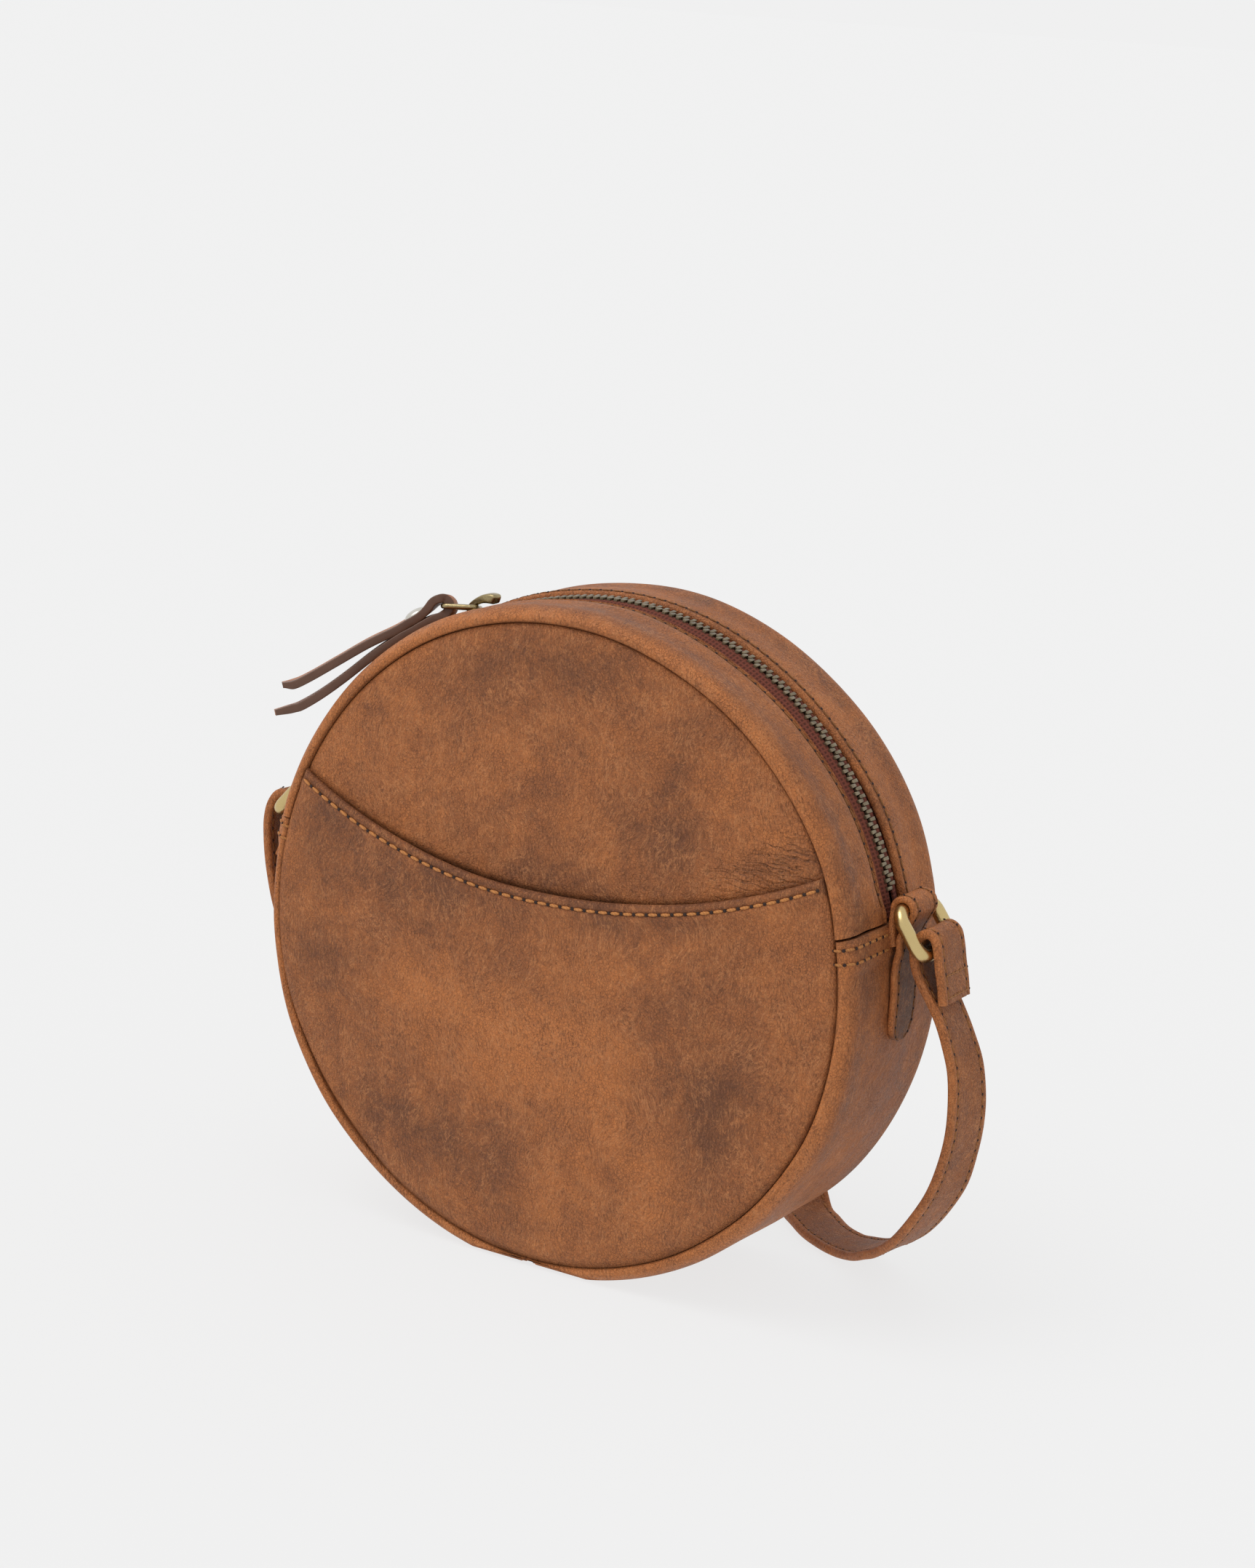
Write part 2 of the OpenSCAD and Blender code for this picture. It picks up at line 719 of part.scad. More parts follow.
// The strap's route from the right ring round behind the bag to the left one, chosen by hand. Each row is
// a point on the band's middle line and the way its width points there.
stand_gap = 0.6;
edge_z = strap_w / 2 + stand_gap;
flat_z = strap_t / 2 + stand_gap;
strap_route = [
    [[128.2, 0, 110.8], [0, 1, 0]], [[127.3, 0, 116], [0, 1, 0]], [[126, 0, 121.6], [0, 1, 0]],
    [[125.05, 0, 126.4], [0, 1, 0]], [[123.7, 0, 130.4], [0, 1, 0]], [[121.1, 0, 131.9], [0, 1, 0]],
    [[118.5, 0, 130.2], [0, 1, 0]], [[117.2, 0, 126.8], [0, 1, 0]], [[117.3, 0, 123], [0, 1, 0]],
    [[118.6, 0, 119], [0, 1, 0]], [[121.2, 0, 114.8], [0, 1, 0]], [[124.2, 0, 110.6], [0, 1, 0]],
    [[127.4, 0, 105.4], [0, 1, 0]], [[130.4, 0.5, 98.6], [0.04, 1, 0]], [[133.2, 1.5, 89.7], [0.1, 1, 0]],
    [[133.9, 3.5, 78.6], [0.15, 1, 0]], [[132.9, 6, 68.2], [0.17, 1, 0]], [[130.1, 9.2, 57], [0.2, 1, 0]],
    [[125.4, 13.2, 44.4], [0.26, 1, 0]], [[117.6, 18.4, 31.8], [0.24, 1, -0.02]],
    [[109.4, 24.6, 21.6], [0.2, 1, 0]], [[101, 31, 14], [0.2, 1, 0.03]], [[94.4, 36, 9.6], [0.25, 1, 0.05]],
    [[88, 40.6, 6], [0.3, 1, 0.08]], [[81, 45, flat_z + strap_t * 4 / 7], [0.35, 0.94, 0.08]],
    [[74.4, 48.4, flat_z + strap_t / 7], [0.45, 0.9, 0.03]], [[65.4, 53.8, flat_z], [0.62, 0.78, 0]],
    [[57.2, 61, flat_z], [0.69, 0.72, 0]], [[49.4, 68.8, flat_z], [0.7, 0.71, 0.05]],
    [[41, 78, 6.9], [0.55, 0.6, 0.55]], [[33, 88, 9.3], [0.3, 0.35, 0.9]], [[26.6, 97.5, edge_z], [0.05, 0.05, 1]],
    [[20.4, 109, edge_z], [0, 0, 1]], [[8, 134, edge_z], [0, 0, 1]], [[-7, 168, edge_z], [0, 0, 1]],
    [[-24, 194, edge_z], [0, 0, 1]], [[-46, 196, edge_z], [0, 0, 1]], [[-60, 172, edge_z], [0, 0, 1]],
    [[-63, 138, edge_z], [0, 0, 1]], [[-70, 110, edge_z], [0, 0, 1]], [[-85, 104, edge_z], [0, 0, 1]],
    [[-95, 124, edge_z], [0, 0, 1]], [[-99, 158, edge_z], [0, 0, 1]], [[-109, 187, edge_z], [0, 0, 1]],
    [[-128, 197, edge_z], [0, 0, 1]], [[-145, 182, edge_z], [0, 0, 1]], [[-150, 150, edge_z], [0, 0, 1]],
    [[-144, 118, edge_z], [0, 0, 1]], [[-132, 92, edge_z], [0, 0, 1]], [[-118, 72, edge_z], [0.1, 0.15, 1]],
    [[-107, 58, 11.4], [0.1, 0.4, 0.9]], [[-100.6, 46, 17], [0.1, 0.8, 0.7]], [[-98.8, 36, 26], [0.05, 1, 0.5]],
    [[-101, 26, 37.5], [0.02, 1, 0.35]], [[-105.2, 17, 49.5], [0, 1, 0.22]],
    [[-110.6, 9.5, 61.5], [0, 1, 0.14]], [[-116.2, 4.2, 73], [0, 1, 0.08]],
    [[-120.8, 1.4, 83.6], [0, 1, 0.04]], [[-124, 0.3, 93], [0, 1, 0]], [[-126.2, 0, 101.6], [0, 1, 0]],
    [[-127.6, 0, 108.4], [0, 1, 0]], [[-128.4, 0, 115], [0, 1, 0]], [[-128.6, 0, 121.4], [0, 1, 0]],
    [[-127.4, 0, 127], [0, 1, 0]], [[-124.6, 0, 130.8], [0, 1, 0]], [[-121.2, 0, 131.2], [0, 1, 0]],
    [[-118.4, 0, 128], [0, 1, 0]], [[-118, 0, 123.4], [0, 1, 0]], [[-119.4, 0, 118.4], [0, 1, 0]],
    [[-121.4, 0, 113.8], [0, 1, 0]], [[-123.2, 0, 109.6], [0, 1, 0]]
];
strap_steps = 2;

// A smooth curve through a column of the route
function curve_point(k, i, u) =
    let (last = len(strap_route) - 1,
        a = strap_route[max(i - 1, 0)][k], b = strap_route[i][k],
        c = strap_route[min(i + 1, last)][k], d = strap_route[min(i + 2, last)][k])
    b + 0.5 * u * (c - a + u * (2 * a - 5 * b + 4 * c - d + u * (3 * (b - c) + d - a)));

strap_stations = [
    for (i = [0:len(strap_route) - 2]) for (j = [0:strap_steps - 1]) [i, j / strap_steps],
    [len(strap_route) - 2, 1]
];
strap_line = [for (s = strap_stations) curve_point(0, s[0], s[1])];
strap_across = [for (s = strap_stations) let (w = curve_point(1, s[0], s[1])) w / norm(w)];

function way(i) =
    let (d = strap_line[min(i + 1, len(strap_line) - 1)] - strap_line[max(i - 1, 0)]) d / norm(d);

module strap() {
    color(TAN) swept([
        for (i = [0:len(strap_line) - 1])
            let (t = way(i), raw = strap_across[i] - (strap_across[i] * t) * t, w = raw / norm(raw),
                f = cross(t, w), p = strap_line[i], a = strap_w / 2, b = strap_t / 2)
            [p + a * w + b * f, p - a * w + b * f, p - a * w - b * f, p + a * w - b * f]
    ]);
}

// Rows of stitches, laid on the leather as plain threads
module thread_zip_front() {
    row_h = zip_gap_half + zip_stitch_inset;
    ease = 5.5;
    color(THREAD) on_axis() sector(zip_end_angle + ease, 180 - zip_end_angle - ease)
        translate([body_r + thread_r, row_h]) circle(r = thread_r, $fn = 16);
}

module thread_zip_rear() {
    mirrored_rear() thread_zip_front();
}

pocket_thread_steps = 40;
pocket_thread_share = 0.86;
pocket_thread_half_x = pocket_thread_share * panel_rim_r;

module thread_pocket() {
    row_r = pocket_edge_r + pocket_stitch_inset;
    thread_lift = 1.2;
    sides = 8;
    color(THREAD) swept([
        for (i = [0:pocket_thread_steps])
            let (x = pocket_thread_half_x * (2 * i / pocket_thread_steps - 1),
                z = pocket_edge_z + pocket_edge_r - sqrt(pow(row_r, 2) - pow(x, 2)),
                h = crown_height(norm([x, z]), pocket_rim_h + leather_t, pocket_rise + layer_gap))
            [for (j = [0:sides - 1])
                let (turn = 360 * j / sides)
                [x, -h - thread_lift * thread_r + thread_r * cos(turn), centre_z + z + thread_r * sin(turn)]]
    ]);
}

module thread_side_seams() {
    color(THREAD) for (angle = seam_row_angles) for (side = [0, 1]) for (rear = [0, 1])
        mirror([side, 0, 0]) mirror([0, rear, 0]) at_angle(angle, body_r + thread_r)
            translate([0, -seam_row_half, 0]) rotate([-90, 0, 0])
                cylinder(r = thread_r, h = seam_row_half - tab_w / 2 - 2 * thread_r, $fn = 16);
}

front_panel();
front_pocket();
pocket_lining();
back_panel();
zip_gusset_front();
zip_gusset_rear();
lower_gusset_right();
lower_gusset_left();
front_board();
back_board();
gusset_board();
lining_front();
lining_back();
lining_lower();
lining_upper_front();
lining_upper_rear();
zip_tape_front();
zip_tape_rear();
zip_teeth_front();
zip_teeth_rear();
zip_top_stops();
zip_bottom_stop();
zip_slider();
puller_ring();
puller_strap();
rivet_cap();
rivet_post();
tab_right();
tab_left();
ring_right();
ring_left();
strap();
thread_zip_front();
thread_zip_rear();
thread_pocket();
thread_side_seams();
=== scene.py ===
"""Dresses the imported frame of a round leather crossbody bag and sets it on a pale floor."""

import math

import bmesh
import bpy
from bpy.props import FloatProperty, FloatVectorProperty, PointerProperty
from mathutils import Matrix, Vector, kdtree, noise


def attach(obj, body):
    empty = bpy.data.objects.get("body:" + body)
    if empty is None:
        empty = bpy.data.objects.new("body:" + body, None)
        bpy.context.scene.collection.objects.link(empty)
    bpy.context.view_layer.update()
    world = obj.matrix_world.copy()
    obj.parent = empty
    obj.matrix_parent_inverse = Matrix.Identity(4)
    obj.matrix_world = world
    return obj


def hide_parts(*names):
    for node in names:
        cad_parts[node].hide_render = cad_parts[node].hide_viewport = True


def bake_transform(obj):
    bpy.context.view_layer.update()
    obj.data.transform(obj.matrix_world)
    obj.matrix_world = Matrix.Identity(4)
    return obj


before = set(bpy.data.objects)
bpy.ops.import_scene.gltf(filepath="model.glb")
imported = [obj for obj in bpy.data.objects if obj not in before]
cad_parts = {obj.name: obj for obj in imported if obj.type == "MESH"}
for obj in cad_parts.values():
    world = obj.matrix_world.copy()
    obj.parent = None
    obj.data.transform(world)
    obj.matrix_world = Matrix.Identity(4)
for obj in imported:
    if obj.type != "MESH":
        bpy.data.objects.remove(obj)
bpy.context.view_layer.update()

bl_info = {
    "name": "Round leather bag",
    "version": (1, 0, 0),
    "blender": (4, 5, 0),
    "location": "3D View > Sidebar > Round bag",
    "description": "Builds the leather, zip, rings and strap of a round bag on its packed frame",
    "category": "Add Mesh",
}

MM = 0.001
WELD = 1e-4

# Vector noise starts from a seed, so that the soft body comes out the same each time
noise.seed_set(1)

# Sizes are in millimetres and degrees. The disc's axis runs along Y through CENTRE_Z.
CENTRE_Z = 107.0
BODY_R = 110.0
HALF_DEPTH = 32.5
LEATHER = 2.0
LAYER_GAP = 0.15
INSIDE_R = BODY_R - LEATHER

# The roll that the gusset makes over the rim: a wide arc, then a tight one down into the seam
ROLL_R = 8.5
ROLL_END_R = 1.6
ROLL_TURN = 45.0
ROLL_C_R = BODY_R - ROLL_R
ROLL_SHIFT = (ROLL_R - ROLL_END_R) * math.cos(math.radians(ROLL_TURN))
ROLL_END_C_R = ROLL_C_R + ROLL_SHIFT
ROLL_END_C_H = HALF_DEPTH - ROLL_END_R
ROLL_C_H = ROLL_END_C_H - ROLL_SHIFT
SEAM_R = ROLL_END_C_R - ROLL_END_R
FLANGE_H = 25.2

# How deep the leather counts as its outer face, and how dark and how wide its seams are
OUTER_SKIN = 0.6
SEAM_SHADE = 0.6
SEAM_WIDTH = 0.6

# The faces. Each height is given in the seam, just inside it, and as how much more there is in the middle;
# the front panel lies lower by FRONT_COVERED where the pocket covers it.
PANEL_R = SEAM_R - LAYER_GAP
FACE_TURN = 4.2
FACE_EDGE = 6
FRONT_FACE = (30.6, 32.0, 2.6)
FRONT_COVERED = (2.0, 2.2, 0.8)
POCKET_FACE = (31.3, 33.0, 4.5)
BACK_FACE = (30.4, 31.6, 0.8)

# The pocket: its edge is an arc round POCKET_MIDDLE and ends at POCKET_X on either hand, with a turned hem and
# one row of stitches
POCKET_EDGE_R = 216.0
POCKET_EDGE_Z = 19.7
POCKET_MIDDLE = POCKET_EDGE_Z + POCKET_EDGE_R
POCKET_X = 95.0
POCKET_INSET = 3.0
POCKET_HEM = 0.75
POCKET_ROW_START = -94.2
POCKET_ROW_L = 187.6

# The lining, which lies inside the leather and its boards
LINING_T = 0.8
LINING_R = PANEL_R - LEATHER - LAYER_GAP
BOARD_T = 0.9
RIM_H = 29.2
LINING_H = RIM_H - LEATHER - BOARD_T - 2 * LAYER_GAP
LINING_WALL_H = LINING_H - LINING_T - LAYER_GAP

# The zip's opening in the gusset. The front lip stands back by LIP_BACK, from nothing at LIP_NONE to all of it
# at LIP_FULL degrees, and its stitches by STITCH_BACK.
ZIP_EDGE = 6.2
ZIP_END = 13.0
STITCH_INSET = 2.5
HEM_R = INSIDE_R - 1.2
LIP_BACK = 1.5
LIP_FULL = 104
LIP_NONE = 124
STITCH_BACK = 0.75

# The chain: each tape, and teeth that stand aside on the left of the slider; one tooth every 2.5 mm
CHAIN_R = 106.3
CHAIN_LIFT = 2.2
OPEN_SPREAD = 3.0
TAPE_W = 12.5
TAPE_FLAT = 8.8
TAPE_EDGE = 1.25
TAPE_HALF_T = 0.35
TOOTH_REACH = 0.6
TOOTH_L = 3.15
TOOTH_H = 2.5
TOOTH_W = 1.3
PITCH_ANGLE = math.degrees(2.5 / CHAIN_R)
FIRST_TOOTH = ZIP_END + 5.4
LAST_TOOTH = 180 - FIRST_TOOTH

# The slider, the puller's ring and the puller. HOOK_LEAN and the DIPs are the angles at which they lie.
SLIDER_ANGLE = 118.3
SLIDER_LIFT = 1.3
SLIDER_W = 11.6
SLIDER_L = 9.6
RAIL_Y = 5.5
HOOK_R = 5.3
HOOK_LEAN = 25
PLATE_X = 1.65
PLATE_T = 0.9
PLATE_FLANGE = 1.6
BAR_R = CHAIN_R + PLATE_X + PLATE_T + HOOK_R * 0.475
PULL_RING_L = 11.0
PULL_RING_W = 9.6
PULL_RING_DIP = 24
PULL_WIRE = 1.8
PULL_CORNER = 2.0
PULLER_DIP = 9
PULLER_W = 9.0
PULLER_T = 2.8
PULLER_STEPS = 200
PULL_TWIST = -10.0
RIVET_AT = 9.8
RIVET_SEAT = 2.68

# The puller's middle line from one tail's tip round its ring to the other's: along, and up
PULLER_LINE = [
    (61.2, 4.6), (56, 2.9), (50, 2.4), (40, 2.3), (28, 2.2), (18, 1.4), (12.5, 1.4), (9.8, 1.4), (7.0, 1.65),
    (4.6, 2.2), (2.4, 2.85), (0.4, 2.75), (-1.5, 1.9), (-2.25, 0.1), (-1.5, -1.7), (0.4, -2.55), (2.4, -2.5),
    (4.6, -1.85), (7.0, -1.5), (9.8, -1.4), (12.5, -1.45), (18, -1.3), (28, -1.9), (40, -3.5), (50, -4.4),
    (58, -4.4), (62, -3.8), (68, -2.0),
]

# The tabs and the strap's rings; each ring turns about a bar at BAR_X, BAR_Z from the disc's middle
TAB_T = 2.0
TAB_W = 16.5
TAB_SEAT_R = BODY_R + LAYER_GAP
TAB_STEPS = 110
TAB_ROW = 0.70
RING_WIRE = 4.5
RING_L = 15.4
RING_W = 23.4
RING_CORNER = 4.5
RING_BAR_R = 116.1
RING_BAR_ANGLE = math.radians(15.2)
BAR_X = RING_BAR_R * math.cos(RING_BAR_ANGLE)
BAR_Z = RING_BAR_R * math.sin(RING_BAR_ANGLE)

# The strap, and where it lies on the floor (on its edge and flat). It is cut in two at STRAP_MIDDLE of its
# route; STRAP_LIES and STRAP_HANGS are two heights given with each half.
STRAP_W = 18.0
STRAP_T = 2.8
STRAP_ROW = 0.735
STRAP_MIDDLE = 33
STRAP_LIES = 20.0
STRAP_HANGS = 106.0
STATIONS = 7
EDGE_Z = STRAP_W / 2 + 0.6
FLAT_Z = STRAP_T / 2 + 0.6

# Where the camera and the soft light from above stand
CAMERA_PLACE = (518.45, -872.82, 403.98)
CAMERA_TURN, CAMERA_RISE, CAMERA_ROLL = 30.33, 13.73, 3.76
LIGHT_WAY = (0.42, 0.42, -1.0)
LIGHT_ANGLE = 38
FLOOR_SIZE = 60

# The two rows of stitches under each side seam, and the seam, as angles above the horizontal
SIDE_ROWS = (11.6, 9.3)
SEAM_ANGLE = 13.0

# The strap's route from the right ring round behind the bag to the left ring: a point, then the way its
# width points.
ACROSS = (0, 1, 0)
UPRIGHT = (0, 0, 1)
STRAP_ROUTE = [
    ((128.2, 0, 110.8), ACROSS), ((127.3, 0, 116), ACROSS), ((126, 0, 121.6), ACROSS),
    ((125.05, 0, 126.4), ACROSS), ((123.7, 0, 130.4), ACROSS), ((121.1, 0, 131.9), ACROSS),
    ((118.5, 0, 130.2), ACROSS), ((117.2, 0, 126.8), ACROSS), ((117.3, 0, 123), ACROSS),
    ((118.6, 0, 119), ACROSS), ((121.2, 0, 114.8), ACROSS), ((124.2, 0, 110.6), ACROSS),
    ((127.4, 0, 105.4), ACROSS), ((130.4, 0.5, 98.6), (0.04, 1, 0)), ((133.2, 1.5, 89.7), (0.1, 1, 0)),
    ((133.9, 3.5, 78.6), (0.15, 1, 0)), ((132.9, 6, 68.2), (0.17, 1, 0)), ((130.1, 9.2, 57), (0.2, 1, 0)),
    ((125.4, 13.2, 44.4), (0.26, 1, 0)), ((117.6, 18.4, 31.8), (0.24, 1, -0.02)),
    ((109.4, 24.6, 21.6), (0.2, 1, 0)), ((101, 31, 14), (0.2, 1, 0.03)), ((94.4, 36, 9.6), (0.25, 1, 0.05)),
    ((88, 40.6, 6), (0.3, 1, 0.08)), ((81, 45, FLAT_Z + STRAP_T * 4 / 7), (0.35, 0.94, 0.08)),
    ((74.4, 48.4, FLAT_Z + STRAP_T / 7), (0.45, 0.9, 0.03)), ((65.4, 53.8, FLAT_Z), (0.62, 0.78, 0)),
    ((57.2, 61, FLAT_Z), (0.69, 0.72, 0)), ((49.4, 68.8, FLAT_Z), (0.7, 0.71, 0.05)),
    ((41, 78, 6.9), (0.55, 0.6, 0.55)), ((33, 88, 9.3), (0.3, 0.35, 0.9)),
    ((26.6, 97.5, EDGE_Z), (0.05, 0.05, 1)), ((20.4, 109, EDGE_Z), UPRIGHT), ((8, 134, EDGE_Z), UPRIGHT),
    ((-7, 168, EDGE_Z), UPRIGHT), ((-24, 194, EDGE_Z), UPRIGHT), ((-46, 196, EDGE_Z), UPRIGHT),
    ((-60, 172, EDGE_Z), UPRIGHT), ((-63, 138, EDGE_Z), UPRIGHT), ((-70, 110, EDGE_Z), UPRIGHT),
    ((-85, 104, EDGE_Z), UPRIGHT), ((-95, 124, EDGE_Z), UPRIGHT), ((-99, 158, EDGE_Z), UPRIGHT),
    ((-109, 187, EDGE_Z), UPRIGHT), ((-128, 197, EDGE_Z), UPRIGHT), ((-145, 182, EDGE_Z), UPRIGHT),
    ((-150, 150, EDGE_Z), UPRIGHT), ((-144, 118, EDGE_Z), UPRIGHT), ((-132, 92, EDGE_Z), UPRIGHT),
    ((-118, 72, EDGE_Z), (0.1, 0.15, 1)), ((-107, 58, 11.4), (0.1, 0.4, 0.9)),
    ((-100.6, 46, 17), (0.1, 0.8, 0.7)), ((-98.8, 36, 26), (0.05, 1, 0.5)),
    ((-101, 26, 37.5), (0.02, 1, 0.35)), ((-105.2, 17, 49.5), (0, 1, 0.22)),
    ((-110.6, 9.5, 61.5), (0, 1, 0.14)), ((-116.2, 4.2, 73), (0, 1, 0.08)),
    ((-120.8, 1.4, 83.6), (0, 1, 0.04)), ((-124, 0.3, 93), ACROSS), ((-126.2, 0, 101.6), ACROSS),
    ((-127.6, 0, 108.4), ACROSS), ((-128.4, 0, 115), ACROSS), ((-128.6, 0, 121.4), ACROSS),
    ((-127.4, 0, 127), ACROSS), ((-124.6, 0, 130.8), ACROSS), ((-121.2, 0, 131.2), ACROSS),
    ((-118.4, 0, 128), ACROSS), ((-118, 0, 123.4), ACROSS), ((-119.4, 0, 118.4), ACROSS),
    ((-121.4, 0, 113.8), ACROSS), ((-123.2, 0, 109.6), ACROSS),
]

# Patches that years of handling leave on the front: x, height above the disc's middle, two radii, tilt in
# degrees and how light (above 0) or dark (below 0) they are. The first list is the upper panel's.
UPPER_PATCHES = [
    (2, 91, 26, 9, 0, -0.5), (-28, 83, 14, 12, 0, -0.35), (43, 46, 14, 16, 0, -0.55),
    (3, 25, 23, 6, 0, -0.5), (48, 67, 13, 12, 0, -0.3), (-85, 48, 13, 15, 0, 0.15),
    (-57, 56, 17, 14, 0, 0.05), (62, 62, 9, 15, 0, 0.3), (80, 54, 12, 12, 0, 0.55),
    (66, 34, 12, 10, 0, 0.35), (-14, 62, 20, 14, 0, 0.12), (22, 40, 12, 8, 0, 0.2),
]
POCKET_PATCHES = [
    (-83, 23, 13, 21, 0, -0.7), (-49, 15, 22, 14, 0, -0.6), (-83, -24, 12, 16, 0, -0.5),
    (-32, 11, 15, 9, 0, -0.3), (30, 17, 19, 8, 0, -0.4), (-3, -10, 13, 8, 0, -0.25),
    (-59, -65, 14, 10, 0, -0.5), (-32, -70, 17, 13, 0, -0.5), (-13, -80, 11, 13, 0, -0.3),
    (71, -29, 13, 17, 0, -0.4), (64, -46, 10, 20, 0, -0.45), (51, -12, 12, 15, 0, -0.35),
    (8, -22, 30, 11, 0, 0.55), (-9, -40, 27, 13, 20, 0.5), (24, -48, 17, 22, 0, 0.45),
    (47, -66, 9, 18, 0, 0.4), (-45, -24, 17, 16, 0, 0.25), (9, -81, 16, 10, 0, 0.3),
    (21, -2, 17, 9, 0, 0.3), (92, 18, 10, 18, 0, 0.2), (-30, -26, 20, 14, 0, 0.3),
    (-66, -2, 10, 10, 0, 0.05),
]


def colour(title, text, value):
    return FloatVectorProperty(name=title, description=text, subtype="COLOR", size=3, min=0, max=1,
                               default=value)


def length(title, text, value):
    return FloatProperty(name=title, description=text, unit="LENGTH", subtype="DISTANCE", min=0,
                         default=value * MM)


def strength(title, text, value):
    return FloatProperty(name=title, description=text, min=0, default=value)


class BagLeather(bpy.types.PropertyGroup):
    """The waxed leather's colours and grain"""

    dark: colour("Dark", "Where wax and handling have darkened the leather", (0.165, 0.060, 0.026))
    middle: colour("Middle", "The leather's own colour", (0.330, 0.112, 0.037))
    light: colour("Light", "Where the leather is stretched and pulls up lighter", (0.50, 0.170, 0.050))
    grain_size: length("Grain", "Width of a grain cell", 1.1)
    grain_depth: length("Grain depth", "Depth of the lines between the grain's cells", 0.16)
    softness: length("Softness", "How far the body's leather wanders from a true round", 1.1)


class BagThread(bpy.types.PropertyGroup):
    """The stitches"""

    thread: colour("Thread", "Colour of the thread", (0.56, 0.225, 0.064))
    # Where the needle went in is painted shade: a nearly black disc at the end of each stitch
    hole_shade: colour("Hole", "Colour of the needle holes", (0.028, 0.012, 0.008))
    pitch: length("Pitch", "Distance between two needle holes", 4.5)
    width: length("Width", "Thickness of the thread", 0.9)


class BagMetal(bpy.types.PropertyGroup):
    """The rings, the slider and the teeth"""

    brass: colour("Brass", "Brushed brass of the rings", (0.61, 0.465, 0.215))
    antique: colour("Antique brass", "Darkened brass of the slider", (0.36, 0.285, 0.15))
    bronze: colour("Bronze", "Dark bronze of the teeth", (0.25, 0.20, 0.13))


class BagStage(bpy.types.PropertyGroup):
    """Floor, light and camera"""

    ground: colour("Ground", "Colour of the background", (0.871, 0.871, 0.871))
    paper: colour("Paper", "Colour of the floor, which the lights bring up to the background's",
                  (0.11, 0.11, 0.11))
    glow: strength("Glow", "Light of the floor itself, which keeps its shadow pale", 0.76)
    sun: strength("Key light", "Strength of the soft light from above", 1.15)
    fill: strength("Fill light", "Strength of the light from all round", 0.66)
    lens: FloatProperty(name="Lens", description="Focal length", unit="CAMERA", min=1, default=74.6)


class BagSettings(bpy.types.PropertyGroup):
    """Everything that can be changed on the bag"""

    leather: PointerProperty(type=BagLeather)
    thread: PointerProperty(type=BagThread)
    metal: PointerProperty(type=BagMetal)
    stage: PointerProperty(type=BagStage)


def settings():
    return bpy.context.scene.round_bag


def hump(value, middle, width):
    """A smooth hump of height 1."""
    return math.exp(-((value - middle) / width) ** 2)


def eased(low, high, value):
    """A smooth step from 0 at low to 1 at high."""
    t = min(1.0, max(0.0, (value - low) / (high - low)))
    return t * t * (3 - 2 * t)


def on_disc(angle, r, y):
    """A point at an angle of the disc, in millimetres; y is its place along the axis."""
    a = math.radians(angle)
    return Vector((r * math.cos(a), y, CENTRE_Z + r * math.sin(a)))


def disc_angle(p):
    return math.degrees(math.atan2(p.z - CENTRE_Z, p.x))


def disc_radius(p):
    return math.hypot(p.x, p.z - CENTRE_Z)


def wander(p):
    """How far the soft body moves a point: the same for all that is sewn to it, and nothing at its foot."""
    amount = settings().leather.softness / MM * eased(1, 26, p.z)
    slow = noise.noise_vector(p / 62)
    quick = noise.noise_vector(p / 27 + Vector((7, 3, 1)))
    return amount * (slow + 0.32 * quick)


def softened(p):
    """A point of the body where its softness takes it."""
    return p + wander(p)


def centripetal(values, position):
    """A smooth curve through a list of vectors; position counts the list's rows."""
    last = len(values) - 1
    i = min(int(position), last - 1)
    u = position - i
    a, b = values[max(i - 1, 0)], values[i]
    c, d = values[min(i + 1, last)], values[min(i + 2, last)]
    return b + 0.5 * u * (c - a + u * (2 * a - 5 * b + 4 * c - d + u * (3 * (b - c) + d - a)))


def smoothed(points, steps):
    """A smooth line through a few points."""
    return [centripetal(points, (len(points) - 1) * i / steps) for i in range(steps + 1)]


def reaches(line):
    """How far along a line each of its points lies."""
    reach = [0.0]
    for a, b in zip(line, line[1:]):
        reach.append(reach[-1] + (b - a).length)
    return reach


def spun(profile, start, end, steps, closed=True):
    """Turns a profile of (radius, y) pairs about the disc's axis."""
    bm = bmesh.new()
    ring = [bm.verts.new(on_disc(start, r, y)) for r, y in profile]
    pairs = list(zip(ring, ring[1:])) + ([(ring[-1], ring[0])] if closed else [])
    edges = [bm.edges.new(pair) for pair in pairs]
    full = end - start >= 360
    bmesh.ops.spin(bm, geom=ring + edges, cent=(0, 0, CENTRE_Z), axis=(0, -1, 0),
                   angle=math.radians(end - start), steps=steps, use_merge=full)
    bmesh.ops.remove_doubles(bm, verts=bm.verts[:], dist=WELD)
    close_ends(bm)
    return bm


def close_ends(bm):
    """Fills whatever is still open, and turns the faces outwards."""
    open_edges = [e for e in bm.edges if e.is_boundary]
    if open_edges:
        bmesh.ops.holes_fill(bm, edges=open_edges, sides=0)
    bmesh.ops.recalc_face_normals(bm, faces=bm.faces[:])


def formed(across, along, place, scale=(1, 1)):
    """Forms a grid into a tube: place gives a point for a share round it and a share along it.
    Edges that meet are joined, and open ends are closed. scale is the size of the UV map."""
    bm = bmesh.new()
    bmesh.ops.create_grid(bm, x_segments=across, y_segments=along, size=0.5)
    uv = bm.loops.layers.uv.new("UVMap")
    for face in bm.faces:
        for loop in face.loops:
            co = loop.vert.co
            loop[uv].uv = ((co.x + 0.5) * scale[0], (co.y + 0.5) * scale[1])
    for v in bm.verts:
        v.co = place(round((v.co.x + 0.5) * across) / across, round((v.co.y + 0.5) * along) / along)
    bmesh.ops.remove_doubles(bm, verts=bm.verts[:], dist=WELD)
    close_ends(bm)
    return bm


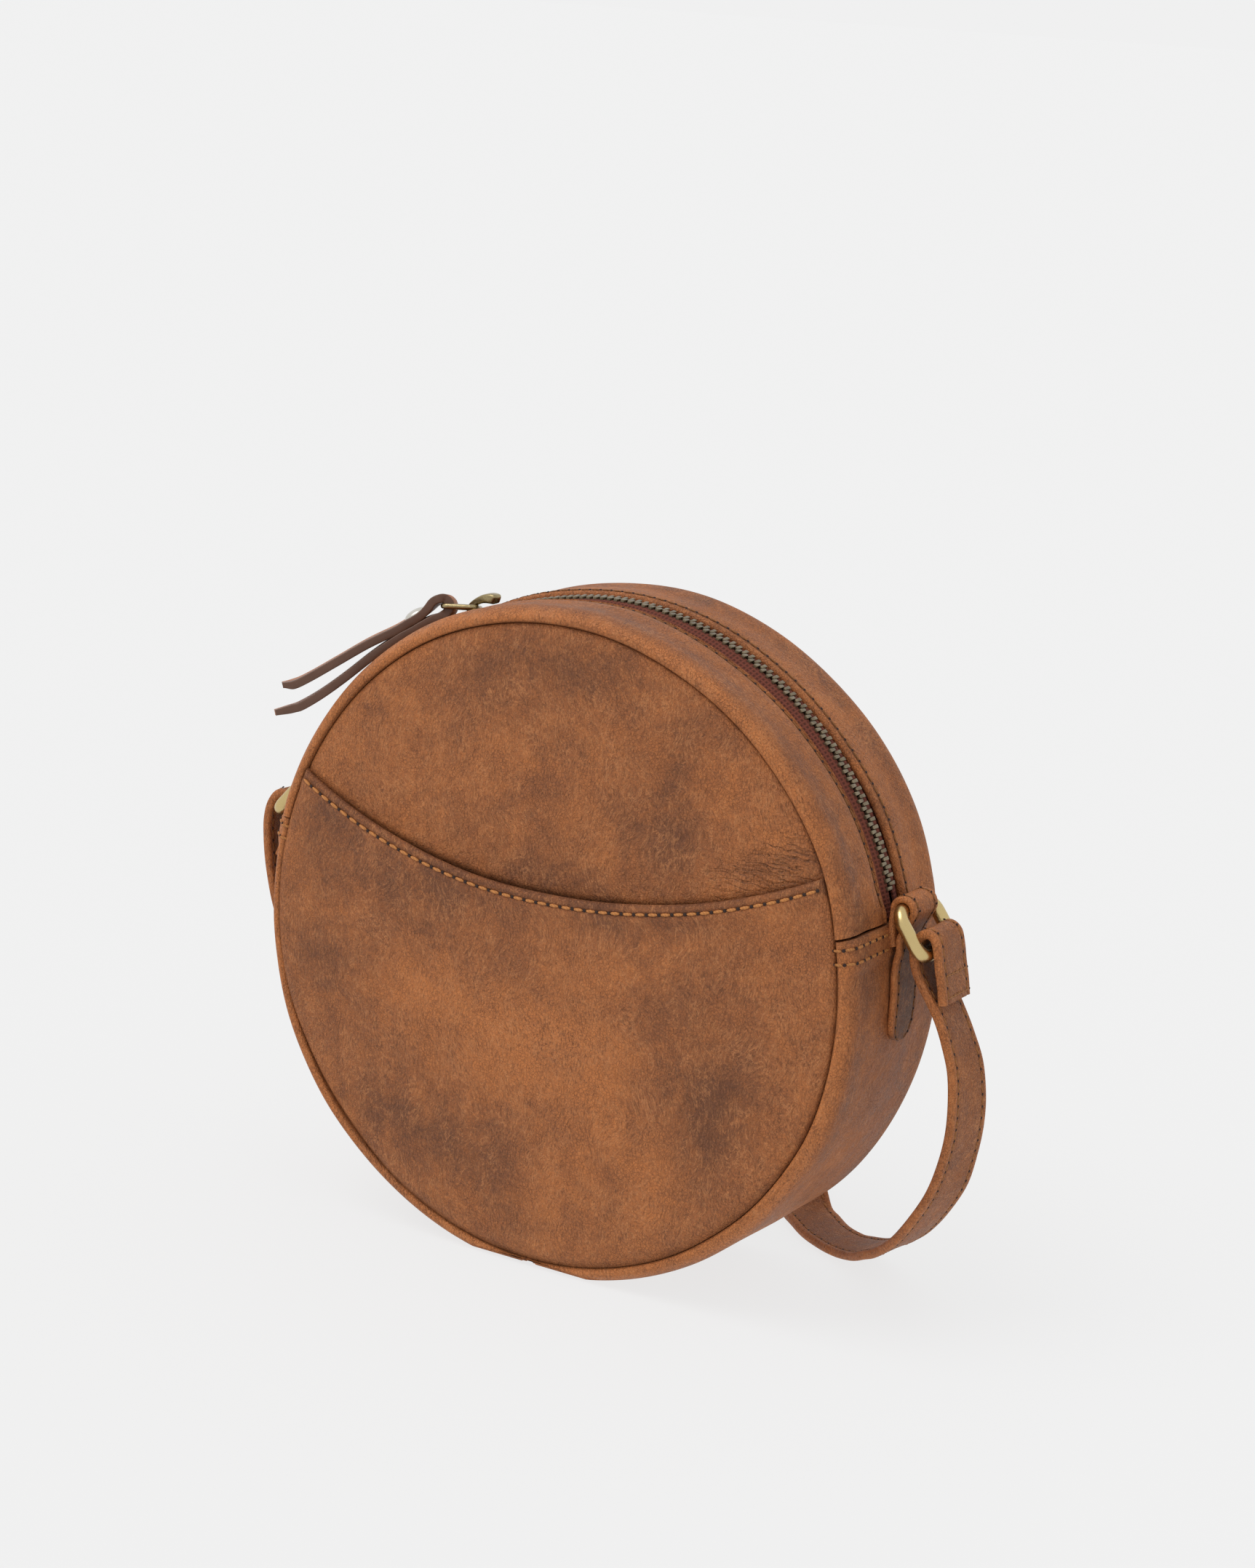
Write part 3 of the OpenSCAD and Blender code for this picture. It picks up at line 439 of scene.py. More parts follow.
def rounded_section(half_w, half_t, corner, steps=3):
    """A rounded rectangle as (across, up) pairs, starting in the middle of its upper side."""
    points = [(0.0, half_t)]
    for cx, cy, first in ((1, 1, 90), (1, -1, 0), (-1, -1, -90), (-1, 1, -180)):
        for i in range(steps + 1):
            a = math.radians(first - 90 * i / steps)
            points.append((cx * (half_w - corner) + corner * math.cos(a),
                           cy * (half_t - corner) + corner * math.sin(a)))
        if (cx, cy) == (1, -1):
            points.append((0.0, -half_t))
    return points


def band_section(rows, half_w, half_t):
    """A leather band's section from its right half, which goes from the middle of the upper face round to the
    middle of the lower face in shares of half the width and half the thickness."""
    section = []
    for side in (1, -1):
        half = [(side * half_w * w, half_t * t) for w, t in rows]
        section += half[:-1] if side > 0 else half[:0:-1]
    return section


def swept(path, sides, section, closed=False, scale_of=None):
    """Carries a section along a path. sides gives each station's way across; scale_of shapes it there."""
    count = len(path)
    frames = []
    for i, p in enumerate(path):
        before = path[i - 1] if i or closed else p
        after = path[(i + 1) % count] if i < count - 1 or closed else p
        way = (after - before).normalized()
        side = (sides[i] - sides[i].dot(way) * way).normalized()
        frames.append((p, side, side.cross(way)))

    def place(u, v):
        i = round(v * (count if closed else count - 1)) % count
        p, side, up = frames[i]
        a, b = section[round(u * len(section)) % len(section)]
        if scale_of:
            a, b = scale_of(i, a, b)
        return p + a * side + b * up

    return formed(len(section), count if closed else count - 1, place)


def tagged(bm, name, value_of):
    """Stores a number for each vertex by its place, which the materials read."""
    layer = bm.verts.layers.float.new(name)
    for v in bm.verts:
        v[layer] = value_of(v.co)


def moved(bm, shift):
    """Puts each vertex where shift takes its place."""
    for v in bm.verts:
        v.co = shift(v.co)


def piece(name, bm, finish, body, replaces=(), sharp=48.0):
    """Turns a mesh in millimetres into a finished object.

    It rides on a body of the frame where body is a name; a body given as (a, b, start, end) is not used.
    """
    bmesh.ops.scale(bm, vec=(MM, MM, MM), verts=bm.verts[:])
    bmesh.ops.triangulate(bm, faces=[f for f in bm.faces if len(f.verts) > 4])
    mesh = bpy.data.meshes.new(name)
    bm.to_mesh(mesh)
    bm.free()
    mesh.polygons.foreach_set("use_smooth", [True] * len(mesh.polygons))
    mesh.set_sharp_from_angle(angle=math.radians(sharp))
    obj = bpy.data.objects.new(name, mesh)
    bpy.context.scene.collection.objects.link(obj)
    mesh.materials.append(finish)
    if isinstance(body, str):
        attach(obj, body)
    else:
        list(body)
        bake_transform(obj)
    if replaces:
        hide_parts(*replaces)
    return obj


def finish_mesh(bm, **tags):
    """Turns the faces outwards and stores each tag, given as a function of a vertex's place."""
    bmesh.ops.recalc_face_normals(bm, faces=bm.faces[:])
    for name, value_of in tags.items():
        tagged(bm, name, value_of)


def block(*size):
    """A box round the origin."""
    bm = bmesh.new()
    bmesh.ops.create_cube(bm, size=1)
    bmesh.ops.scale(bm, vec=size, verts=bm.verts[:])
    return bm


def rounded(bm, edges, offset, segments=2):
    """Rounds some edges of a mesh."""
    bmesh.ops.bevel(bm, geom=edges, offset=offset, segments=segments, profile=0.5, affect="EDGES", material=-1)


def joined(parts):
    """One mesh of several."""
    whole = bmesh.new()
    for part in parts:
        mesh = bpy.data.meshes.new("part")
        part.to_mesh(mesh)
        part.free()
        whole.from_mesh(mesh)
        bpy.data.meshes.remove(mesh)
    return whole


class Shader:
    """A material's nodes, with short ways to add and join them."""

    def __init__(self, name, rough, metal=0.0, specular=0.5):
        self.material = bpy.data.materials.new(name)
        self.material.use_nodes = True
        self.tree = self.material.node_tree
        self.surface = self.tree.nodes["Principled BSDF"]
        self.surface.inputs["Roughness"].default_value = rough
        self.surface.inputs["Metallic"].default_value = metal
        self.surface.inputs["Specular IOR Level"].default_value = specular
        self.coords = self.tree.nodes.new("ShaderNodeTexCoord")

    def add(self, kind, values=None, **props):
        node = self.tree.nodes.new(kind)
        for key, value in props.items():
            setattr(node, key, value)
        for key, value in (values or {}).items():
            if isinstance(value, bpy.types.NodeSocket):
                self.tree.links.new(value, node.inputs[key])
            else:
                node.inputs[key].default_value = value
        return node

    def noise(self, size, detail=3.0, rough=0.5, distortion=0.0, vector=None):
        """Noise whose features are about a size in millimetres across, from 0 to 1."""
        return self.add("ShaderNodeTexNoise", {
            "Vector": vector or self.coords.outputs["Object"], "Scale": 1 / (size * MM), "Detail": detail,
            "Roughness": rough, "Distortion": distortion}).outputs["Fac"]

    def drawn_out(self, place, turn, scale, size, reach):
        """Bent coordinates, turned about Y and stretched, for marks that run one way."""
        return self.add("ShaderNodeMapping", {"Vector": self.bent(place, size, reach), "Rotation": (0, turn, 0),
                                              "Scale": scale}).outputs[0]

    def thread_of(self, value, width):
        """Thin lines where a noise passes its middle: 1 on a line and 0 beside it."""
        away = self.maths("ABSOLUTE", self.maths("SUBTRACT", value, 0.5))
        return self.ranged(away, 0.0, width, 1.0, 0.0)

    def maths(self, operation, a, b=0.0):
        return self.add("ShaderNodeMath", {0: a, 1: b}, operation=operation).outputs[0]

    def ranged(self, value, low, high, to_low=0.0, to_high=1.0):
        """Spreads the range from low to high over another one."""
        return self.add("ShaderNodeMapRange", {"Value": value, "From Min": low, "From Max": high,
                                               "To Min": to_low, "To Max": to_high}).outputs[0]

    def bent(self, place, size, reach):
        """Coordinates pushed about by noise of a size, as far as reach, both in millimetres."""
        push = self.add("ShaderNodeTexNoise", {"Vector": place, "Scale": 1 / (size * MM), "Detail": 3.0})
        push = self.add("ShaderNodeVectorMath", {0: push.outputs["Color"], 1: (reach * MM,) * 3},
                        operation="MULTIPLY")
        return self.add("ShaderNodeVectorMath", {0: place, 1: push.outputs[0]}, operation="ADD").outputs[0]

    def cracks(self, place, size, width):
        """Lines between the cells of a net: 1 on a line and 0 beside it; width is a share of a cell."""
        net = self.add("ShaderNodeTexVoronoi", {"Vector": place, "Scale": 1 / size},
                       feature="DISTANCE_TO_EDGE")
        return self.ranged(net.outputs["Distance"], 0.0, width, 1.0, 0.0)

    def tag(self, name):
        return self.add("ShaderNodeAttribute", attribute_name=name).outputs["Fac"]

    def ramp(self, value, stops):
        node = self.add("ShaderNodeValToRGB", {"Fac": value})
        elements = node.color_ramp.elements
        while len(elements) < len(stops):
            elements.new(0.5)
        for element, (position, tint) in zip(elements, stops):
            element.position = position
            element.color = (*tint, 1)
        return node.outputs["Color"]

    def mixed(self, share, a, b):
        """A colour between two others; the inputs of a colour mix are numbered 0, 6 and 7."""
        node = self.tree.nodes.new("ShaderNodeMix")
        node.data_type = "RGBA"
        for index, value in ((0, share), (6, a), (7, b)):
            if isinstance(value, bpy.types.NodeSocket):
                self.tree.links.new(value, node.inputs[index])
            else:
                node.inputs[index].default_value = value if index == 0 else (*value, 1)
        return node.outputs[2]

    def bump(self, height, distance, strength=1.0, below=None):
        values = {"Height": height, "Distance": distance, "Strength": strength}
        if below:
            values["Normal"] = below
        return self.add("ShaderNodeBump", values).outputs["Normal"]

    def finish(self, tint=None, rough=None, normal=None):
        for key, value in (("Base Color", tint), ("Roughness", rough), ("Normal", normal)):
            if value is not None:
                if isinstance(value, bpy.types.NodeSocket):
                    self.tree.links.new(value, self.surface.inputs[key])
                else:
                    self.surface.inputs[key].default_value = value
        return self.material


def shade_of(tint, share):
    """A darker shade of a colour."""
    return tuple(share * c for c in tint)


def leather_material(name, dark, middle, light, contrast=1.0, wrinkle=1.0):
    """Waxed pull-up leather: mottled in three tones, finely grained, with painted shade in its seams, creases
    and folds, and lighter on its edges where rubbed and where a highlight is painted. Reads four vertex
    numbers: the tone, the painted shade, the rubbed edges with their highlights, and the wrinkles."""
    look = settings().leather
    s = Shader(name, 0.5, specular=0.27)
    place = s.coords.outputs["Object"]

    # Clouds of several sizes, and the places where the leather has pulled up
    broad = s.noise(50, 4, 0.55, 0.4)
    cloudy = s.noise(16, 5, 0.62, 0.7)
    fine = s.noise(4.0, 4, 0.65, 0.4)
    specks = s.noise(0.8, 3, 0.65)
    pulled = s.ranged(s.noise(12, 4, 0.65, 0.5), 0.40, 0.60)

    # The grain's net, pits and hair lines that run along the skin, veins, and folds beside the pocket's corner
    lines = s.cracks(s.bent(place, 2.2, 1.6), look.grain_size, 0.13)
    along = s.drawn_out(place, 0.6, (1, 1, 0.36), 42.0, 30.0)
    pits = s.ranged(s.noise(0.62, 2, 0.5, vector=along), 0.54, 0.64)
    hairs = s.thread_of(s.noise(2.0, 3, 0.62, 0.6, vector=along), 0.045)
    veins = s.cracks(s.bent(place, 8.0, 9.0), 6.0 * MM, 0.035)
    veins = s.maths("MULTIPLY", veins, s.ranged(cloudy, 0.46, 0.62))
    folds = s.noise(2.6, 2, 0.5, vector=s.drawn_out(place, -0.12, (0.16, 1, 1), 9.0, 5.0))
    folds = s.maths("MULTIPLY", s.thread_of(folds, 0.09), s.tag("wrinkle"))

    # How light the leather is, from dark at 0 to light at 1
    shade = s.maths("MULTIPLY", s.tag("tone"), 0.52 * contrast)
    for part, weight in ((broad, 0.5), (cloudy, 0.7), (fine, 0.5), (specks, 0.6)):
        part = s.maths("MULTIPLY", s.maths("SUBTRACT", part, 0.5), weight * contrast)
        shade = s.maths("ADD", shade, part)
    # The veins, and the edges lighter where rubbed and where a highlight is painted
    for part, weight in ((veins, 0.2), (s.tag("worn"), 0.28)):
        shade = s.maths("ADD", shade, s.maths("MULTIPLY", part, weight))
    shade = s.maths("ADD", shade, 0.495)
    tint = s.ramp(shade, ((0.10, dark), (0.48, middle), (0.88, light)))

    # Light hairs and lines where it has pulled up, then the dark of the net and pits, and painted shade in the
    # folds and creases
    bare = tuple(min(1.0, c * k) for c, k in zip(light, (1.15, 1.4, 1.8)))
    for mask, share, weight in ((hairs, s.ranged(pulled, 0.0, 1.0, 0.35, 1.0), 0.6), (lines, pulled, 0.24)):
        tint = s.mixed(s.maths("MULTIPLY", s.maths("MULTIPLY", mask, share), weight), tint, bare)
    for mask, weight, depth in (
            (lines, s.ranged(pulled, 0.0, 1.0, 0.38, 0.05), 0.35),
            (pits, s.ranged(cloudy, 0.40, 0.60, 0.5, 0.2), 0.4),
            (folds, 0.3, 0.35), (s.tag("crease"), 0.75, 0.2)):
        tint = s.mixed(s.maths("MULTIPLY", mask, weight), tint, shade_of(middle, depth))

    rough = s.ranged(s.maths("ADD", cloudy, s.maths("MULTIPLY", fine, 0.6)), 0.55, 1.05, 0.48, 0.66)
    normal = s.bump(s.maths("MULTIPLY", specks, 0.6), 0.0007, 0.5)
    normal = s.bump(s.maths("ADD", lines, pits), -look.grain_depth, 0.8, normal)
    normal = s.bump(s.noise(8.0, 5, 0.62, 1.2), 0.0014 * wrinkle, 0.5, normal)
    normal = s.bump(folds, -0.0011, 0.8, normal)
    return s.finish(tint, rough, normal)


def metal_material(name, tint, rough, tarnish_and_reflection, brush=0.00012):
    """Brushed metal, darker in stains and spots: tarnish, and on the brass rings also a painted reflection of
    dark surroundings; brush is the depth of the brush marks in metres.
    """
    s = Shader(name, rough, 1.0)
    stain_and_reflection = s.noise(3.2, 5, 0.65)
    spots = s.noise(0.9, 4, 0.7)
    # Darker in stains: tarnish, and on the brass a painted reflection of dark surroundings
    colours = s.mixed(s.ranged(stain_and_reflection, 0.42, 0.72, 0.0, tarnish_and_reflection), tint, shade_of(tint, 0.42))
    colours = s.mixed(s.ranged(spots, 0.60, 0.68, 0.0, 0.6 * tarnish_and_reflection), colours, shade_of(tint, 0.2))
    brushed = s.add("ShaderNodeMapping", {"Vector": s.coords.outputs["Object"], "Scale": (1, 1, 7)}).outputs[0]
    height = s.noise(1.1, 3, 0.6, vector=brushed)
    return s.finish(colours, s.ranged(stain_and_reflection, 0.3, 0.8, rough - 0.07, rough + 0.12), s.bump(height, brush, 0.3))


def thread_material(name, share):
    """Twisted thread in a share of its colour, with painted shade in its needle holes."""
    look = settings().thread
    tint = shade_of(look.thread, share)
    s = Shader(name, 0.62, specular=0.3)
    twist = s.add("ShaderNodeTexWave", {"Vector": s.coords.outputs["Object"], "Scale": 420.0,
                                        "Distortion": 3.0}, bands_direction="DIAGONAL").outputs["Fac"]
    twisted = s.mixed(s.ranged(twist, 0.0, 1.0, 0.45, 0.0), tint, shade_of(tint, 0.45))
    # Painted shade where the needle went in
    twisted = s.mixed(s.tag("hole_shade"), twisted, tuple(look.hole_shade))
    return s.finish(twisted, None, s.bump(twist, 0.00012, 0.6))


def cloth_material(name, tint, weave, depth, coordinates="Object"):
    """Plain woven cloth; weave is the width of a yarn and depth its height, both in millimetres."""
    s = Shader(name, 0.85, specular=0.2)
    waves = {"Vector": s.coords.outputs[coordinates], "Scale": 1 / (4 * weave * MM)}
    warp, weft = (s.add("ShaderNodeTexWave", waves, bands_direction=way).outputs["Fac"] for way in ("X", "Y"))
    yarns = s.maths("MAXIMUM", s.maths("MULTIPLY", warp, s.noise(weave * 1.5)), s.maths("MULTIPLY", weft, 0.55))
    woven = s.mixed(s.ranged(yarns, 0.05, 0.5, 0.9, 0.0), tint, shade_of(tint, 0.35))
    return s.finish(woven, None, s.bump(yarns, depth * MM, 0.7))


def board_material():
    """Grey-brown fibre board."""
    s = Shader("fibre_board", 0.9, specular=0.2)
    flecks = s.noise(1.3, 5, 0.7)
    tint = s.ramp(flecks, ((0.3, (0.22, 0.18, 0.14)), (0.7, (0.4, 0.34, 0.27))))
    return s.finish(tint, None, s.bump(flecks, 0.0002, 0.4))


def puller_material():
    """Tan faces with dark painted edges."""
    look = settings().leather
    s = Shader("puller_leather", 0.42, specular=0.3)
    cloudy = s.noise(6, 4, 0.6)
    edge = s.tag("edge")
    face = s.ramp(cloudy, ((0.3, shade_of(look.middle, 0.8)), (0.7, shade_of(look.light, 0.85))))
    painted = s.mixed(cloudy, (0.10, 0.050, 0.032), (0.17, 0.088, 0.058))
    tint = s.mixed(s.ranged(edge, 0.25, 0.75), face, painted)
    return s.finish(tint, s.ranged(edge, 0.0, 1.0, 0.52, 0.34), s.bump(s.noise(1.0, 3, 0.6), 0.0002, 0.35))


FINISHES = {}


def finish_of(name):
    """Each material is made once, when it is first asked for."""
    if name not in FINISHES:
        look, metal = settings().leather, settings().metal
        dark, middle, light = tuple(look.dark), tuple(look.middle), tuple(look.light)
        makers = {
            "body_leather": (leather_material, "body_leather", dark, middle, light),
            "strap_leather": (leather_material, "strap_leather", dark, middle, light, 0.75, 0.6),
            "tongue_leather": (leather_material, "tongue_leather", (0.165, 0.083, 0.050), shade_of(middle, 0.9),
                               light, 0.8, 0.4),
            "puller_leather": (puller_material,),
            "thread": (thread_material, "waxed_thread", 1.0),
            "seam_thread": (thread_material, "seam_thread", 0.8),
            "strap_thread": (thread_material, "strap_thread", 0.6),
            "zip_thread": (thread_material, "dark_thread", 0.45),
            "brass": (metal_material, "brushed_brass", tuple(metal.brass), 0.27, 0.06, 0.00004),
            "nickel": (metal_material, "dull_nickel", (0.66, 0.63, 0.57), 0.26, 0.2),
            "antique": (metal_material, "antique_brass", tuple(metal.antique), 0.30, 0.7),
            "bronze": (metal_material, "dark_bronze", tuple(metal.bronze), 0.38, 0.8),
            "lining": (cloth_material, "lining_cloth", (0.16, 0.09, 0.06), 0.35, 0.1),
            "tape": (cloth_material, "zip_cloth", (0.17, 0.048, 0.030), 1.1, 0.6, "UV"),
            "board": (board_material,),
        }
        make, *values = makers[name]
        FINISHES[name] = make(*values)
    return FINISHES[name]


def plump(r, foot, rim, rise):
    """The height of a face that swells out of its seam: foot in the seam, rim just inside it, and rise more in
    the middle."""
    near = max(0.0, 1 - (PANEL_R - r) / FACE_TURN)
    full = rim + rise * (1 - min(1.0, r / PANEL_R) ** 2.6)
    return foot + (full - foot) * math.sqrt(max(0.0, 1 - near ** 2.2))


def panel_height(x, z):
    """The front panel's height; it lies lower where the pocket covers it."""
    covered = eased(2.0, -7.0, z - pocket_edge_height(x))
    return plump(math.hypot(x, z), *(h - covered * less for h, less in zip(FRONT_FACE, FRONT_COVERED)))


def pocket_height(x, z):
    """The height of the pocket's outer face."""
    return plump(math.hypot(x, z), *POCKET_FACE)


def back_height(x, z):
    """The back panel's height, which is nearly flat."""
    return plump(math.hypot(x, z), *BACK_FACE)


def pocket_edge_height(x, reach=POCKET_X):
    """Where the pocket's curved edge runs, above the disc's middle."""
    x = max(-reach, min(reach, x))
    return POCKET_MIDDLE - math.sqrt(POCKET_EDGE_R ** 2 - x * x)


def pocket_depth(p):
    """How far a point lies below the pocket's edge."""
    return pocket_edge_height(p.x, POCKET_X - 1) - (p.z - CENTRE_Z)


def edge_wrinkles(p):
    """Where the panel creases, beside the pocket's right-hand corner."""
    above = p.z - CENTRE_Z - pocket_edge_height(p.x)
    return math.exp(-((p.x - 80) / 17) ** 2 - ((above - 8) / 8) ** 2)


def seam_shade(p):
    """A face is dark in its seam."""
    return SEAM_SHADE * eased(PANEL_R - SEAM_WIDTH, PANEL_R, disc_radius(p))


def patch_tone(patches, x, z):
    """How light or dark a list of soft oval patches makes a place."""
    tone = 0.0
    for px, pz, rx, rz, tilt, value in patches:
        a = math.radians(tilt)
        dx, dz = x - px, z - pz
        u, w = (dx * math.cos(a) + dz * math.sin(a)) / rx, (dz * math.cos(a) - dx * math.sin(a)) / rz
        d = u * u + w * w
        if d < 6:
            tone += value * math.exp(-d)
    return tone


def make_panel(name, side, rise_of, patches):
    """A face of the bag with its edge turned in; side is -1 for the front and 1 for the back."""
    flat_r, inner_r = PANEL_R - FACE_EDGE, PANEL_R - LEATHER
    outside, inside = 1.0, 2.0
    profile = [(flat_r * i / 72, outside) for i in range(73)]
    profile += [(PANEL_R - FACE_EDGE * (1 - i / 10) ** 2, outside) for i in range(1, 11)]
    profile += [(PANEL_R, FLANGE_H), (inner_r, FLANGE_H)]
    profile += [(inner_r * (1 - i / 18), inside) for i in range(19)]
    bm = spun(profile, 0, 360, 216, closed=False)

    def shift(p):
        height = p.y
        if height < inside + 1:
            height = rise_of(p.x, p.z - CENTRE_Z) - (LEATHER if height > outside + 0.5 else 0.0)
        return softened(Vector((p.x, side * height, p.z)))

    moved(bm, shift)
    # Painted shade in the seam and where the panel goes down behind the pocket's edge
    finish_mesh(bm, tone=lambda p: patch_tone(patches, p.x, p.z - CENTRE_Z),
                crease=lambda p: seam_shade(p) + pocket_shadow(p, side),
                wrinkle=lambda p: edge_wrinkles(p) if side < 0 else 0.0)
    piece(name, bm, finish_of("body_leather"), "shell", [name])


def pocket_shadow(p, side):
    """The panel is darker where it goes down behind the pocket's edge."""
    return 0.55 * eased(-1.6, 1.5, pocket_depth(p)) if side < 0 else 0.0


class BAG_OT_faces(bpy.types.Operator):
    """Makes the front and back face of the bag"""

    bl_idname = "round_bag.faces"
    bl_label = "Faces"

    def execute(self, context):
        make_panel("front_panel", -1, panel_height, UPPER_PATCHES)
        back = [(-x, -z, a, b, t, 0.8 * v) for x, z, a, b, t, v in POCKET_PATCHES + UPPER_PATCHES]
        make_panel("back_panel", 1, back_height, back)
        return {"FINISHED"}


def pocket_sheet(rim_r, hem, thickness, inset, height_of, columns=150):
    """A sheet that hangs from the pocket's curved edge down to the seam, closed round its top by a roll.
    hem is how much thicker the turned edge is."""
    edge_r = POCKET_EDGE_R + inset
    z_end = (rim_r ** 2 - edge_r ** 2 + POCKET_MIDDLE ** 2) / (2 * POCKET_MIDDLE)
    x_end = math.sqrt(rim_r ** 2 - z_end ** 2)
    end_angle = math.degrees(math.asin(z_end / rim_r))
    front_rows, back_rows, roll_rows = 64, 26, 7
    total = front_rows + back_rows + roll_rows
    half = (thickness + hem) / 2
    dense_share = 0.36

    def place(u, v):
        t = 2 * v - 1
        t = 0.55 * t + 0.45 * math.sin(math.pi / 2 * t)
        x = t * x_end
        top = Vector((x, POCKET_MIDDLE - math.sqrt(edge_r ** 2 - x * x)))
        a = math.radians(-90 + t * (90 + end_angle))
        foot = Vector((rim_r * math.cos(a), rim_r * math.sin(a)))
        reach = (foot - top).length
        dense = min(8.0, 0.4 * reach)
        nose = min(half, 0.3 * reach)
        row = round(u * total) % total

        def at(d, lift):
            q = top + (foot - top) * (d / reach) if reach > 1e-6 else top
            return Vector((q.x, -(height_of(q.x, q.y) + lift), CENTRE_Z + q.y))

        if row < front_rows:
            share = row / (front_rows - 1)
            if share < dense_share:
                d = nose + (dense - nose) * (share / dense_share)
            else:
                d = dense + (reach - dense) * (share - dense_share) / (1 - dense_share)
            groove = 0.5 * hem * hump(d, POCKET_INSET, 0.6)
            return at(d, hem * (1 - eased(4.0, 8.6, d)) - groove)
        if row < front_rows + back_rows:
            share = 1 - (row - front_rows) / (back_rows - 1)
            return at(nose + (reach - nose) * share ** 1.6, -thickness)
        a = math.pi * (row - front_rows - back_rows + 1) / (roll_rows + 1)
        return at(nose - nose * math.sin(a), (hem - thickness) / 2 - half * math.cos(a))

    return formed(total, columns, place)


class BAG_OT_pocket(bpy.types.Operator):
    """Makes the front pocket with its turned edge, and the cloth behind it"""

    bl_idname = "round_bag.pocket"
    bl_label = "Front pocket"

    def execute(self, context):
        bm = pocket_sheet(PANEL_R, POCKET_HEM, LEATHER, 0.0, pocket_height)
        moved(bm, softened)
        # The turned edge is lighter along its top: a burnished edge with a painted highlight on it
        finish_mesh(bm, tone=self.tone, crease=self.crease,
                    worn=lambda p: 0.7 * hump(pocket_depth(p), 1.0, 0.7))
        piece("front_pocket", bm, finish_of("body_leather"), "shell", ["front_pocket"])
        cloth = pocket_sheet(PANEL_R - 3.5, 0.0, 0.6, POCKET_INSET + 0.4,
                             lambda x, z: pocket_height(x, z) - LEATHER - 0.1, 90)
        moved(cloth, softened)
        finish_mesh(cloth)
        piece("pocket_lining", cloth, finish_of("lining"), "shell", ["pocket_lining"])
        return {"FINISHED"}

    def tone(self, p):
        """Its patches, and darker from the row of stitches down."""
        return patch_tone(POCKET_PATCHES, p.x, p.z - CENTRE_Z) - 0.6 * eased(3.0, 1.6, pocket_depth(p))

    def crease(self, p):
        """Painted shade in the seam and where the stitches draw in."""
        return min(1.0, seam_shade(p) + 0.6 * hump(pocket_depth(p), POCKET_INSET, 0.5))


def arc(centre_r, centre_y, r, start, end, steps):
    """Points of a profile on a circle, from one angle to another."""
    turns = [math.radians(start + (end - start) * i / steps) for i in range(steps + 1)]
    return [(centre_r + r * math.cos(a), centre_y + r * math.sin(a)) for a in turns]


def roll_profile(depth, big=10, small=10):
    """The roll's outline at a depth below the leather's face, from the rim down into the seam."""
    return (arc(ROLL_C_R, ROLL_C_H, ROLL_R - depth, 0, ROLL_TURN, big)
            + arc(ROLL_END_C_R, ROLL_END_C_H, ROLL_END_R - depth, ROLL_TURN, 180, small)[1:])


def roll_seam(p):
    """Painted shade where the roll goes down into its seam."""
    return SEAM_SHADE * eased(SEAM_R + 0.4, SEAM_R, disc_radius(p)) * eased(26, 29, abs(p.y))


def gusset_crease(p):
    """Painted shade in the seam, and where the stitches beside the zip draw in."""
    row = 0.0
    if disc_angle(p) > ZIP_END:
        place = ZIP_EDGE + STITCH_INSET + (STITCH_BACK * bared(disc_angle(p)) if p.y < 0 else 0.0)
        row = 0.4 * hump(abs(p.y), place, 0.4)
    return min(1.0, roll_seam(p) + row)


def gusset_tone(p):
    """Lighter on the crown of the roll, where it is rubbed and a highlight is painted, and darker just behind
    it.
    """
    y = abs(p.y)
    return 0.12 + 0.55 * hump(y, 31.5, 1.6) - 0.35 * hump(y, 23, 4) + 0.25 * noise.noise(p / 30)


def bared(angle):
    """How far the front lip stands back from the teeth: fully on the right of the slider."""
    return eased(LIP_NONE, LIP_FULL, angle) * eased(ZIP_END + 1, ZIP_END + 7, angle)


def make_zip_gusset(name, side):
    """The band on one side of the zip, from its turned lip to the seam; side is -1 for the front."""
    wall_start, hem_end = ZIP_EDGE + 1.7, ZIP_EDGE + 7
    start, end = ZIP_END + 0.4, 180 - ZIP_END - 0.4
    nose = (BODY_R - HEM_R) / 2
    profile = [(BODY_R, wall_start + (ROLL_C_H - wall_start) * i / 26) for i in range(26)]
    profile += roll_profile(0) + [(SEAM_R, FLANGE_H), (SEAM_R + LEATHER, FLANGE_H)]
    profile += roll_profile(LEATHER, 5, 5)[::-1] + [(INSIDE_R, hem_end), (HEM_R, hem_end)]
    profile += arc(HEM_R + nose, ZIP_EDGE + nose, nose, 180, 360, 9)[:-1]
    bm = spun(profile, start, end, 190)

    def shift(p):
        angle, r, y = disc_angle(p), disc_radius(p), p.y
        if r > BODY_R - OUTER_SKIN and y < ROLL_C_H:
            sewn = 0.34 * hump(y, ZIP_EDGE + STITCH_INSET, 0.8)
            welt = 0.3 * hump(y, ZIP_EDGE + 1.2, 0.9)
            dip = (1.5 if side < 0 else 0.3) * eased(15, ZIP_EDGE + 0.5, y) * bared(angle)
            hollow = 0.5 * math.sin(math.pi * eased(10.5, ROLL_C_H + 2, y)) ** 1.3
            r += welt - sewn - dip - hollow
        r -= 0.25 * (eased(ZIP_END + 3, ZIP_END, angle) + eased(177 - ZIP_END, 180 - ZIP_END, angle))
        if side < 0:
            y += LIP_BACK * bared(angle) * eased(ZIP_EDGE + 4.5, ZIP_EDGE + 1.5, y)
        return softened(on_disc(angle, r, side * y))

    moved(bm, shift)
    finish_mesh(bm, crease=gusset_crease, tone=gusset_tone)
    piece(name, bm, finish_of("body_leather"), "shell", [name])


def fold_lift(angle):
    """The lower gusset is doubled where it is turned over the zip gusset."""
    return 0.95 * eased(7.2, 8.6, angle) * (1 - eased(12.2, 13.0, angle) ** 2 * 0.9)


